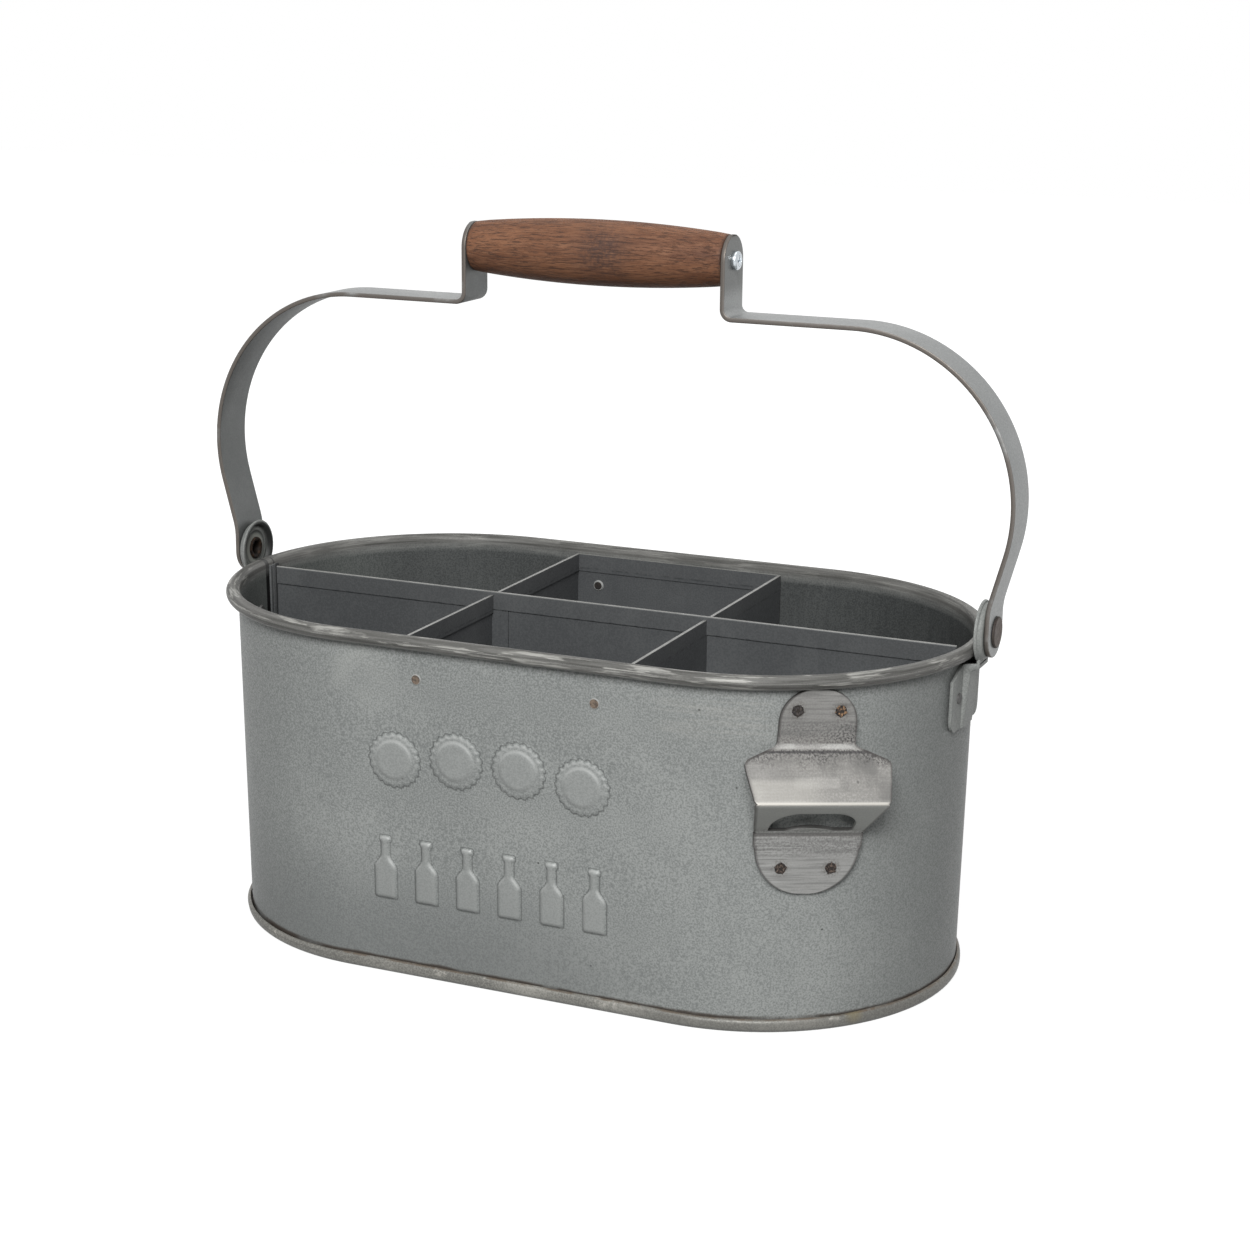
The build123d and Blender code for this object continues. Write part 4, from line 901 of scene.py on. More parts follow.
def cut_mouth(plate):
    """Take out the faces inside the mouth and draw its ragged border to the outline."""
    web_rise = OPENER_RIDGE - OPENER_LOWER_FOLD
    slant = math.hypot(web_rise, OPENER_RIDGE_OUT - OPENER_PLATE - SHEET_GAP) / web_rise

    def inside(place, x=0.0, up=0.0):
        return mouth_inside(place.x + x, (place.z - OPENER_LOWER_FOLD) * slant + up)

    edit(plate)
    pick(plate, "faces", lambda middle, normal: inside(middle) > 0)
    bpy.ops.mesh.delete(type="FACE")
    mesh = bmesh.from_edit_mesh(plate.data)
    small = 0.01 * MM
    for vertex in mesh.verts:
        border = any(len(edge.link_faces) == 1 for edge in vertex.link_edges)
        if not border or abs(inside(vertex.co)) > 1.5 * MM:
            continue
        for tries in range(4):
            here = inside(vertex.co)
            slope_x = (inside(vertex.co, x=small) - here) / small
            slope_up = (inside(vertex.co, up=small) - here) / small
            size = slope_x**2 + slope_up**2
            if size > 0.01:
                vertex.co.x -= here * slope_x / size
                vertex.co.z -= here * slope_up / size / slant
    bmesh.update_edit_mesh(plate.data)
    leave()


def make_opener():
    """The opener: a plate folded out to a ridge and back, with a mouth cut in its web."""
    rows = opener_rows()
    count = len(rows) - 1
    add = bpy.ops.mesh.primitive_grid_add
    plate = begin("opener_plate", add, x_subdivisions=72, y_subdivisions=count, size=2)
    leave()
    for vertex in plate.data.vertices:
        up = rows[round((vertex.co.y + 1) / 2 * count)]
        vertex.co = (vertex.co.x * opener_half(up), 0, up)
    cut_mouth(plate)
    for vertex in plate.data.vertices:
        x, y, z = vertex.co
        bend = OPENER_RIDGE_BEND if abs(z - OPENER_RIDGE) < 4 * MM else OPENER_BEND
        levels = [opener_out(z + bend * share) for share in (-1, -0.6, -0.2, 0.2, 0.6, 1)]
        panel = smooth(PANEL_HALF[0] - abs(x - PANEL_MIDDLE[0]), 0, PANEL_SLOPE)
        panel *= smooth(PANEL_HALF[1] - abs(z - PANEL_MIDDLE[1]), 0, PANEL_SLOPE)
        vertex.co.y = PANEL_DEPTH * panel - sum(levels) / len(levels)
    tidy(plate)
    thicken(plate, OPENER_PLATE)
    soften_edges(plate, OPENER_EDGE, 2, 50)

    def edge_share(place, normal):
        return smooth(abs(place.x) - opener_half(place.z), -1.1 * MM, -0.2 * MM)

    paint(plate, "along", lambda place, normal: place.x)
    paint(plate, "up", lambda place, normal: place.z)
    paint(plate, "edge", edge_share)
    plate.data.transform(opener_place())
    shade(plate, 40)
    return plate


def make_opener_spots():
    """Ragged worn ends of the opener's four rivets."""
    rough = random.Random(11)
    spots = []
    for along, up in OPENER_RIVETS:
        spot = begin(
            "opener_rivet_ends", bpy.ops.mesh.primitive_circle_add, vertices=36, radius=SPOT_RADIUS,
            fill_type="NGON", rotation=(QUARTER_TURN, 0, 0), location=(along, -0.05 * MM - OPENER_PLATE, up),
        )
        select_whole()
        for inward, outward in SPOT_RINGS:
            bpy.ops.mesh.extrude_region_move()
            bpy.ops.mesh.inset(thickness=inward * MM)
            move(y=-outward * MM)
        leave()
        start = rough.uniform(0, FULL_TURN)
        for vertex in spot.data.vertices:
            turn = math.atan2(vertex.co.z - up, vertex.co.x - along)
            ragged = 0.84 + 0.12 * math.sin(5 * turn + start) + 0.08 * math.sin(9 * turn - start)
            ragged += rough.uniform(-SPOT_RAGGED, SPOT_RAGGED)
            vertex.co.x = along + (vertex.co.x - along) * ragged
            vertex.co.z = up + (vertex.co.z - up) * ragged
            vertex.co.y += rough.uniform(-SPOT_ROUGH, SPOT_ROUGH)
        tidy(spot)
        spots.append(spot)
    spots = join("opener_rivet_ends", *spots)
    spots.data.transform(opener_place())
    shade(spots, 30)
    return spots


def opener_place():
    """The opener's own frame: along the wall, inwards and up the wall."""
    out = Vector((math.sin(OPENER_BEARING), -math.cos(OPENER_BEARING), 0))
    along = Vector((math.cos(OPENER_BEARING), math.sin(OPENER_BEARING), 0))
    lean = (out * WALL_LEAN + Vector((0, 0, TUB_HEIGHT))).normalized()
    face = along.cross(lean)
    along = Matrix.Rotation(-OPENER_TILT, 3, face) @ along
    origin = Vector((STRAIGHT_HALF, 0, OPENER_MIDDLE)) + out * wall_out(OPENER_MIDDLE)
    place = Matrix((along, -face, face.cross(along))).transposed().to_4x4()
    place.translation = origin
    return place


# Shader parts


class Nodes:
    """A shader tree, the place its patterns are drawn from and short ways to add nodes."""

    def __init__(self, tree, place=None):
        self.tree = tree
        self.place = place

    def fill(self, socket, value):
        """Link a value to a socket, or set it there if it is a constant."""
        if isinstance(value, Value):
            value = value.socket
        if isinstance(value, bpy.types.NodeSocket):
            self.tree.links.new(value, socket)
        elif socket.type == "RGBA":
            socket.default_value = (*value, 1.0)
        else:
            socket.default_value = value

    def add(self, kind, settings=None, **inputs):
        """Add a node, set its options and fill its inputs by name, or by number as in _0."""
        made = self.tree.nodes.new(kind)
        for name, value in (settings or {}).items():
            setattr(made, name, value)
        for name, value in inputs.items():
            key = int(name[1:]) if name[0] == "_" else name.replace("_", " ")
            self.fill(made.inputs[key], value)
        return made

    def measure(self, operation, *vectors):
        """A number worked out from vectors."""
        inputs = {f"_{place}": vector for place, vector in enumerate(vectors)}
        made = self.add("ShaderNodeVectorMath", {"operation": operation}, **inputs)
        return Value(self, made.outputs["Value"])

    def point(self, x, y, z=0.0):
        return self.add("ShaderNodeCombineXYZ", X=x, Y=y, Z=z).outputs[0]

    def axes(self, vector=None):
        """The X, Y and Z of the place, or of another vector."""
        made = self.add("ShaderNodeSeparateXYZ", Vector=vector or self.place)
        return [Value(self, made.outputs[name]) for name in "XYZ"]

    def mix(self, share, first, second, mode="MIX"):
        """A color between two others."""
        settings = {"data_type": "RGBA", "blend_type": mode}
        return self.add("ShaderNodeMix", settings, _0=share, _6=first, _7=second).outputs[2]

    def noise(self, scale, detail=3.0, rough=0.55, stretch=None, place=None):
        """Soft noise at the place, which can be stretched along the axes first."""
        place = place or self.place
        if stretch:
            made = self.add("ShaderNodeVectorMath", {"operation": "MULTIPLY"}, _0=place, _1=stretch)
            place = made.outputs[0]
        made = self.add("ShaderNodeTexNoise", Vector=place, Scale=scale, Detail=detail, Roughness=rough)
        return Value(self, made.outputs["Fac"])

    def from_axis(self, first, second):
        """Distance from an axis, out of the two places across it."""
        return self.measure("LENGTH", self.point(first, second))

    def spot(self, centre, radius, soft):
        """One within a radius of a place, with a soft edge."""
        return self.measure("DISTANCE", self.place, centre).ramp(radius - soft, radius + soft, 1.0, 0.0)

    def seen(self):
        """One for what the camera or a reflection looks at."""
        path = self.add("ShaderNodeLightPath")
        return Value(self, path.outputs["Is Camera Ray"]).larger(path.outputs["Is Glossy Ray"])


class Value:
    """A number in a shader tree, worked on with the usual signs."""

    def __init__(self, nodes, socket):
        self.nodes = nodes
        self.socket = socket

    def work(self, operation, second=0.0):
        made = self.nodes.add("ShaderNodeMath", {"operation": operation}, _0=self, _1=second)
        return Value(self.nodes, made.outputs[0])

    def __add__(self, other):
        return self.work("ADD", other)

    def __sub__(self, other):
        return self.work("SUBTRACT", other)

    def __mul__(self, other):
        return self.work("MULTIPLY", other)

    def __abs__(self):
        return self.work("ABSOLUTE")

    def larger(self, other):
        return self.work("MAXIMUM", other)

    def ramp(self, low, high, to_low=0.0, to_high=1.0):
        """A soft step from one number to another between two limits."""
        made = self.nodes.add(
            "ShaderNodeMapRange", {"interpolation_type": "SMOOTHSTEP"}, Value=self,
            From_Min=low, From_Max=high, To_Min=to_low, To_Max=to_high,
        )
        return Value(self.nodes, made.outputs[0])

    def between(self, low, high, soft):
        """One between two limits, with soft ends."""
        return self.ramp(low - soft, low) * self.ramp(high, high + soft, 1.0, 0.0)


def new_group(name, inputs, outputs):
    """A shader node group with named inputs and outputs."""
    group = bpy.data.node_groups.new(name, "ShaderNodeTree")
    for label, kind in inputs:
        group.interface.new_socket(label, in_out="INPUT", socket_type="NodeSocket" + kind)
    for label, kind in outputs:
        group.interface.new_socket(label, in_out="OUTPUT", socket_type="NodeSocket" + kind)
    given = group.nodes.new("NodeGroupInput").outputs
    result = group.nodes.new("NodeGroupOutput").inputs
    return Nodes(group, given["Vector"]), given, result


def zinc_group():
    """Weathered zinc: fine grain, soft clouds, pale blooms and dark pinholes."""
    nodes, given, result = new_group(
        "weathered_zinc",
        (
            ("Vector", "Vector"), ("Base", "Color"), ("Pale", "Color"), ("Dark", "Color"),
            ("Grain", "Float"), ("Clouds", "Float"), ("Pinholes", "Float"),
        ),
        (("Color", "Color"), ("Roughness", "Float"), ("Height", "Float")),
    )
    blotch = nodes.noise(420.0, 3.0, 0.6).ramp(0.3, 0.7, -1.0, 1.0) * 0.09
    grain = (nodes.noise(1350.0, 1.0, 0.7).ramp(0.3, 0.7, -1.0, 1.0) + blotch) * given["Grain"]
    lighter = nodes.noise(22.0, 4.0).ramp(0.42, 0.7) * given["Clouds"]
    darker = nodes.noise(7.0, 2.0, 0.5).ramp(0.38, 0.65, 1.0, 0.0) * given["Clouds"]
    tone = nodes.mix(lighter, given["Base"], given["Pale"])
    tone = nodes.mix(darker * 0.45, tone, given["Dark"])
    tone = nodes.mix(grain.larger(0.0), tone, given["Pale"])
    tone = nodes.mix((grain * -1.0).larger(0.0), tone, given["Dark"])
    dots = nodes.add("ShaderNodeTexVoronoi", {"feature": "F1"}, Vector=nodes.place, Scale=130.0)
    chance = nodes.add("ShaderNodeSeparateColor", Color=dots.outputs["Color"])
    rare = Value(nodes, chance.outputs[0]).ramp(0.9, 0.92)
    hole = Value(nodes, dots.outputs["Distance"]).ramp(0.03, 0.085, 1.0, 0.0) * rare * given["Pinholes"]
    nodes.fill(result["Color"], nodes.mix(hole, tone, (0.03, 0.03, 0.028)))
    nodes.fill(result["Roughness"], grain * -0.12 + 0.47)
    nodes.fill(result["Height"], grain - hole)
    return nodes.tree


def streak_group():
    """Long drawn streaks: they change slowly along X and Y and fast with the given cross place."""
    nodes, given, result = new_group(
        "drawn_streaks",
        (("Vector", "Vector"), ("Cross", "Float"), ("Along", "Float"), ("Across", "Float")),
        (("Mask", "Float"),),
    )
    x, y, z = nodes.axes()
    cross = Value(nodes, given["Cross"]) * given["Across"]
    place = nodes.point(x * given["Along"], y * given["Along"], cross)
    nodes.fill(result["Mask"], nodes.noise(1.0, 4.0, 0.6, place=place).ramp(0.36, 0.66))
    return nodes.tree


ZINC = zinc_group()
STREAKS = streak_group()


class Look(Nodes):
    """A material under work, with its tone, roughness and fine relief so far."""

    def __init__(self, name):
        self.material = bpy.data.materials.new(name)
        self.material.use_nodes = True
        super().__init__(self.material.node_tree)
        self.shader = self.tree.nodes["Principled BSDF"]
        self.place = self.add("ShaderNodeTexCoord").outputs["Object"]

    def attribute(self, name):
        """A number painted on the piece."""
        made = self.add("ShaderNodeAttribute", {"attribute_name": name, "attribute_type": "GEOMETRY"})
        return Value(self, made.outputs["Fac"])

    def upward(self):
        """How far the surface faces up, from minus one to one."""
        return self.axes(self.add("ShaderNodeNewGeometry").outputs["Normal"])[2]

    def start(self, share, low, high, rough, height=None):
        """Begin with two shades, mixed by a share."""
        self.tone = self.mix(share, low, high)
        self.rough = rough
        self.height = height

    def use(self, group, place=None, **inputs):
        """The outputs of a shader node group laid at a place."""
        place = place or self.place
        return self.add("ShaderNodeGroup", {"node_tree": group}, Vector=place, **inputs).outputs

    def start_zinc(self, base, pale, dark, grain, clouds, pinholes):
        """Begin with weathered zinc."""
        shares = {"Grain": grain, "Clouds": clouds, "Pinholes": pinholes}
        made = self.use(ZINC, Base=base, Pale=pale, Dark=dark, **shares)
        self.tone = made["Color"]
        self.rough = made["Roughness"]
        self.height = made["Height"]

    def streaks(self, cross, along, across, place=None):
        """Mask of drawn streaks."""
        return Value(self, self.use(STREAKS, place, Cross=cross, Along=along, Across=across)["Mask"])

    def tint(self, share, mask, shade):
        """Draw the tone towards a shade by a share of a mask."""
        self.tone = self.mix(mask * share, self.tone, shade)

    def finish(self, metallic, bump=0.0, gloss=0.5, depth=0.05 * MM):
        """Fill the shader and hand over the material."""
        inputs = self.shader.inputs
        self.fill(inputs["Base Color"], self.tone)
        self.fill(inputs["Roughness"], self.rough)
        inputs["Metallic"].default_value = metallic
        inputs["Specular IOR Level"].default_value = gloss
        if self.height is not None:
            made = self.add("ShaderNodeBump", Height=self.height, Strength=bump, Distance=depth)
            self.fill(inputs["Normal"], made.outputs[0])
        return self.material


def wall_material():
    """The tub sheet: matt mottled zinc, the rim worn bright and streaked, the inside darker."""
    look = Look("galvanised_wall")
    look.start_zinc((0.25, 0.262, 0.255), (0.35, 0.362, 0.35), (0.13, 0.138, 0.135), 0.5, 0.4, 0.8)
    x, y, z = look.axes()
    # Painted shade: darker towards the bottom left and towards both ends.
    look.tint(0.6, z.ramp(0.065, 0.01) * x.ramp(0.09, 0.0), (0.15, 0.158, 0.156))
    look.tint(0.32, x.ramp(0.13, 0.165).larger(x.ramp(-0.14, -0.165)), (0.13, 0.137, 0.134))
    cross = look.attribute("cross")

    # Pressed relief: smoother plateaus, a painted highlight on upward slopes, a thin painted shade line at
    # each foot.
    relief = look.attribute("relief")
    look.tint(0.55, relief.ramp(0.3, 0.9), (0.29, 0.3, 0.292))
    slope = relief.ramp(0.3, 0.55) * relief.ramp(0.75, 0.98, 1.0, 0.0)
    look.tint(0.45, slope * look.upward().ramp(-0.05, 0.25), (0.44, 0.45, 0.44))
    look.tint(0.6, relief.ramp(0.0, 0.04) * relief.ramp(0.06, 0.3, 1.0, 0.0), (0.06, 0.064, 0.062))

    # A pale bloom at the upper left and faint grinding marks left of the opener's neck.
    bloom = look.spot(BLOOM, 12 * MM, 12 * MM)
    look.tint(0.4, bloom * look.noise(45.0).ramp(0.3, 0.65), (0.38, 0.39, 0.37))
    marks = look.streaks(cross, 30.0, 900.0)
    ground = x.between(*GRINDING_ALONG) * z.between(*GRINDING_HEIGHT)
    look.tint(0.22, ground * y.ramp(-0.03, -0.05) * marks, (0.42, 0.41, 0.38))

    # The inside darkens the sheet; it is paler at the left, with painted shade as black grooves beside the
    # seam.
    inside = look.attribute("inside")
    sheet = look.tone
    drips = look.noise(260.0, 4.0, 0.65, (1.0, 1.0, 0.2))
    look.tone = look.mix(drips.ramp(0.3, 0.75), (0.23, 0.233, 0.238), (0.29, 0.292, 0.296))
    look.tint(0.5, x.ramp(0.02, -0.06), (0.33, 0.333, 0.338))
    look.tint(0.8, x.ramp(-0.13, -0.155), (0.52, 0.53, 0.52))
    look.tone = look.mix(inside, sheet, look.tone, "MULTIPLY")
    left_end = x.ramp(*LEFT_END)
    near_line = y.between(*SEAM_NEAR_GROOVE)
    seam_gap_shade = near_line.larger(y.between(*SEAM_FAR_GROOVE))
    look.tint(1.0, inside * left_end * seam_gap_shade, (0.004, 0.004, 0.004))
    sheet = look.tone

    # The rim: drawn streaks, worn bright in long patches, and two lines where the sheet's ends lap.
    fine = look.streaks(cross, 60.0, 1500.0)
    look.tone = look.mix(look.streaks(cross, 22.0, 620.0), (0.05, 0.048, 0.044), (0.165, 0.162, 0.153))
    look.tint(0.55, fine, (0.1, 0.097, 0.09))
    polished = look.streaks(cross, 46.0, 420.0).ramp(0.55, 0.95) * fine.ramp(1.0, 0.2, 0.25, 1.0)
    look.tint(0.7, polished * y.ramp(0.0, -0.04, 0.3, 1.0), (0.45, 0.445, 0.415))
    look.tint(0.45, cross.between(*RIM_CREST), (0.34, 0.343, 0.33))
    lap = near_line.larger(y.between(*RIM_LAP_LINE))
    look.tint(0.75, lap * left_end, (0.02, 0.02, 0.02))
    look.tone = look.mix(look.attribute("rim") * 0.9, sheet, look.tone)

    # Rust creeps up from the bead along a wavering line.
    line = z + (look.noise(60.0, 4.0) - 0.5) * (2 * MM)
    rust_here = look.noise(35.0, 4.0, 0.6).ramp(0.3, 0.5, 0.25, 1.0)
    look.tint(0.9, line.ramp(*RUST_FADE, 1.0, 0.0) * rust_here, (0.05, 0.039, 0.031))
    return look.finish(0.1, 0.3, 0.12)


def pan_material():
    """The bead: beige grey above, greyer below, nicked bright, with thin rust at its lip."""
    look = Look("galvanised_bead")
    look.start_zinc((0.185, 0.183, 0.167), (0.32, 0.312, 0.284), (0.085, 0.083, 0.076), 0.4, 1.0, 0.3)
    x, y, z = look.axes()
    nicks = look.noise(70.0, 5.0, 0.7).ramp(0.6, 0.72) * z.ramp(1.5 * MM, 4 * MM)
    look.tint(1.0, nicks, (0.55, 0.53, 0.48))
    look.tint(0.35, x.ramp(0.03, 0.08), (0.11, 0.108, 0.1))
    rust = z.ramp(4.9 * MM, 5.4 * MM) * look.noise(160.0, 4.0, 0.65).ramp(0.35, 0.6)
    look.tint(0.75, rust, (0.12, 0.088, 0.062))
    look.tint(0.5, z.ramp(0.4 * MM, 2.8 * MM, 1.0, 0.0), (0.13, 0.135, 0.13))
    look.tint(0.4, look.spot(OCHRE_SPOT, 3 * MM, 2.5 * MM), (0.22, 0.18, 0.08))
    return look.finish(0.2, 0.3, 0.3)


def divider_material():
    """The dividers: dull dark sheet, a painted highlight on the top edges and a dark line under the hems,
    stain and painted shade.
    """
    look = Look("divider_sheet")
    look.start_zinc((0.085, 0.089, 0.092), (0.125, 0.13, 0.132), (0.05, 0.052, 0.055), 0.3, 0.7, 0.4)
    x, y, z = look.axes()
    drips = look.noise(220.0, 4.0, 0.65, (1.0, 1.0, 0.15))
    look.tint(0.35, drips.ramp(0.5, 0.75), (0.065, 0.068, 0.072))
    line = z + (look.noise(140.0, 4.0) - 0.5) * (1.2 * MM)
    look.tint(0.05, line.between(*HEM), (0.17, 0.17, 0.165))
    # A dark line under the hems: a smudged stain and painted shade under the hem's edge.
    smudge = look.noise(300.0, 4.0, 0.65).ramp(0.42, 0.62)
    look.tint(0.45, line.between(*HEM_SHADE_AND_STAIN) * smudge, (0.02, 0.021, 0.022))
    # A painted highlight on the faces at the top edges.
    top = look.upward().ramp(0.3, 0.8) * z.ramp(0.14, 0.143)
    look.tint(1.0, top, look.mix(look.noise(120.0, 4.0), (0.12, 0.12, 0.115), (0.36, 0.36, 0.345)))
    return look.finish(0.2, 0.2, 0.3)


def strap_material():
    """Bright zinc outside, darker at the tabs, with painted shade inside the loop and brown worn edges."""
    look = Look("strap_zinc")
    look.start_zinc((0.33, 0.338, 0.336), (0.43, 0.438, 0.436), (0.22, 0.227, 0.226), 0.3, 0.6, 0.3)
    x, y, z = look.axes()
    patchy = look.noise(30.0, 4.0).ramp(0.25, 0.6, 0.75, 1.0)
    # Painted shade on the faces inside the loop.
    look.tint(0.9, look.attribute("inner") * patchy, (0.115, 0.12, 0.118))
    look.tint(0.75, z.ramp(GRIP_HEIGHT - 17 * MM, GRIP_HEIGHT - 9 * MM), (0.16, 0.163, 0.159))
    look.tint(0.85, look.attribute("edge") * look.noise(60.0, 4.0, 0.6).ramp(0.2, 0.5), (0.1, 0.084, 0.072))
    look.shader.inputs["Specular Tint"].default_value = (0.7, 0.7, 0.7, 1.0)
    return look.finish(0.75, 0.15)


def opener_material():
    """Pale steel, brushed across, with dirt at the folds, dirt and painted contact shadow at the edges and a
    painted highlight on the upper bend.
    """
    look = Look("opener_steel")
    along = look.attribute("along")
    up = look.attribute("up")
    along_only = look.point(along, 0.0)
    look.place = look.point(along, up)
    look.start_zinc((0.31, 0.302, 0.285), (0.42, 0.412, 0.395), (0.16, 0.155, 0.147), 0.3, 0.9, 0.6)
    brushed = look.streaks(up, 35.0, 1500.0, along_only)
    look.tint(0.45, brushed, (0.185, 0.182, 0.172))
    pits = look.noise(1100.0, 4.0, 0.7).ramp(0.42, 0.6)
    patches = look.noise(90.0, 4.0, 0.6).ramp(0.42, 0.62)
    wide = look.noise(55.0, 4.0).ramp(0.42, 0.6)

    # The neck and the lower plate are duller than the hood, whose right side is smudged.
    neck_all = up.ramp(21 * MM, 27 * MM)
    look.tint(0.55, neck_all, (0.215, 0.214, 0.207))
    low_all = up.ramp(-16 * MM, -19 * MM)
    look.tint(0.65, low_all, (0.25, 0.254, 0.249))
    smudged = up.between(*HOOD) * wide * along.ramp(-15 * MM, 15 * MM, 0.45, 1.0)
    look.tint(0.7, smudged, (0.13, 0.128, 0.123))
    rubbed = up.between(*HOOD_RUBBED) * along.ramp(5 * MM, -10 * MM)
    look.tint(0.4, rubbed, (0.48, 0.465, 0.43))

    # Dirt above and below the upper fold, with the crease dark and a painted highlight along the bend.
    fade = (up + patches * (3 * MM)).ramp(13 * MM, 19 * MM) * up.ramp(18.5 * MM, 19 * MM, 1.0, 0.0)
    look.tint(0.9, fade * pits, (0.05, 0.047, 0.047))
    look.tint(0.75, up.between(*UPPER_CREASE), (0.04, 0.038, 0.04))
    lower_right = (along - up).ramp(-26 * MM, -8 * MM, 0.5, 1.0)
    look.tint(0.95, up.between(*NECK_DIRT) * lower_right * pits, (0.05, 0.047, 0.047))
    bright_bend = up.between(*BRIGHT_BEND) * wide.ramp(0.0, 1.0, 0.35, 1.0)
    look.tint(0.4, bright_bend, (0.6, 0.6, 0.58))

    # The ridge line is lighter; the web is grey, with a dark lip round its mouth and a dark lower crease.
    look.tint(0.6, up.between(*RIDGE_LINE), (0.62, 0.6, 0.55))
    web = up.between(*WEB)
    look.tint(0.75, web, (0.275, 0.283, 0.268))
    look.tint(0.85, web * look.upward().ramp(0.2, 0.6), (0.03, 0.028, 0.027))
    look.tint(0.7, up.between(*LOWER_CREASE), (0.06, 0.058, 0.056))
    look.tint(0.6, up.between(*LOWER_DIRT) * pits, (0.09, 0.088, 0.085))

    # Scuffs across the neck and the lower plate, dirt round the rivets and dark edges of dirt and painted
    # contact shadow.
    scuffs = look.streaks(up, 45.0, 900.0, along_only).ramp(0.3, 0.9)
    look.tint(0.4, neck_all.larger(low_all) * scuffs, (0.1, 0.1, 0.097))
    around = 0.0
    for rivet_along, rivet_up in OPENER_RIVETS:
        away = look.from_axis(along - rivet_along, up - rivet_up)
        around = away.ramp(2.2 * MM, 5.2 * MM, 1.0, 0.0).larger(around)
    look.tint(0.6, around * pits, (0.08, 0.07, 0.06))
    look.tint(0.45, low_all * along.ramp(2 * MM, -14 * MM) * brushed.ramp(0.7, 0.2), (0.36, 0.362, 0.35))
    edge = look.attribute("edge") * look.noise(70.0, 2.0).ramp(0.25, 0.5, 0.4, 1.0)
    look.tint(0.8, edge, (0.05, 0.046, 0.044))
    # A faint painted highlight on the pressed panel.
    panel = along.between(*PANEL_GLEAM_ALONG) * up.between(*PANEL_GLEAM_UP)
    look.tint(0.16, panel, (0.58, 0.57, 0.54))
    return look.finish(0.45, 0.25, 0.4)


def rust_material():
    """Browned steel of the cell rivets, pale rings round them and almost black inner ends."""
    look = Look("browned_steel")
    patch = look.noise(700.0, 4.0, 0.65)
    look.start(patch.ramp(0.35, 0.65), (0.055, 0.046, 0.041), (0.2, 0.152, 0.115), 0.7, patch)
    x, y, z = look.axes()
    look.tint(0.9, abs(y).ramp(0.0905, 0.0895), (0.012, 0.011, 0.011))
    away = look.from_axis(abs(x) - CELL_RIVET_ASIDE, z - CELL_RIVET_HEIGHT)
    look.tint(0.8, away.between(*CELL_RIVET_RING), (0.42, 0.43, 0.42))
    return look.finish(0.2, 0.4, 0.3, 0.15 * MM)


def ear_rivet_material():
    """Flat dark rivets of the ear brackets."""
    look = Look("dark_rivet_steel")
    patch = look.noise(600.0, 4.0, 0.6)
    look.start(patch, (0.045, 0.044, 0.044), (0.14, 0.137, 0.133), 0.6, patch)
    return look.finish(0.3, 0.3, 0.3, 0.1 * MM)


def pivot_material():
    """The pivot: a brown-grey flat head with a painted shadow line round its edge, and an almost black
    hollow end.
    """
    look = Look("pivot_steel")
    patch = look.noise(500.0, 4.0, 0.65)
    look.start(patch.ramp(0.4, 0.7), (0.008, 0.006, 0.005), (0.042, 0.025, 0.016), 0.6, patch)
    x, y, z = look.axes()
    out = abs(x)
    head = out.ramp(0.1765, 0.177)
    look.tint(1.0, head, look.mix(patch.ramp(0.3, 0.7), (0.11, 0.093, 0.085), (0.23, 0.197, 0.18)))
    away = look.from_axis(y, z - PIVOT_HEIGHT)
    # Painted shadow line round the edge of the head.
    look.tint(0.8, head * away.ramp(5.8 * MM, 6.2 * MM), (0.015, 0.012, 0.01))
    hollow = away.ramp(2.9 * MM, 3.4 * MM, 1.0, 0.0) * out.ramp(0.1755, 0.175)
    look.tint(0.85, hollow, (0.006, 0.005, 0.004))
    return look.finish(0.1, 0.35, 0.12, 0.12 * MM)


def spot_material():
    """Ragged rivet ends: near black with rust, the upper left one grey and the upper right one orange."""
    look = Look("rusted_rivet_ends")
    patch = look.noise(900.0, 5.0, 0.7)
    look.start(patch.ramp(0.4, 0.64), (0.022, 0.018, 0.017), (0.17, 0.13, 0.105), 0.8, patch)
    grey, orange = (
        look.spot(tuple(opener_place() @ Vector((along, -OPENER_PLATE, up))), 3.5 * MM, MM)
        for along, up in OPENER_RIVETS[:2]
    )
    look.tint(0.6, grey, (0.05, 0.05, 0.052))
    look.tint(1.0, orange * patch.ramp(0.45, 0.6), (0.36, 0.22, 0.12))
    return look.finish(0.2, 0.6, 0.3, 0.25 * MM)


def seam_material():
    """The seam's folds, with painted shade as black gaps between them."""
    look = Look("seam_sheet")
    look.start_zinc((0.085, 0.089, 0.092), (0.14, 0.145, 0.145), (0.04, 0.042, 0.045), 0.3, 0.8, 0.5)
    x, y, z = look.axes()
    # Painted shade in the gaps between the folds.
    look.tint(0.85, y.between(-0.2 * MM, 0.6 * MM, 0.2 * MM), (0.01, 0.01, 0.01))
    look.tint(0.85, y.ramp(3.2 * MM, 4.2 * MM), (0.012, 0.012, 0.013))
    return look.finish(0.2, 0.15, 0.3)


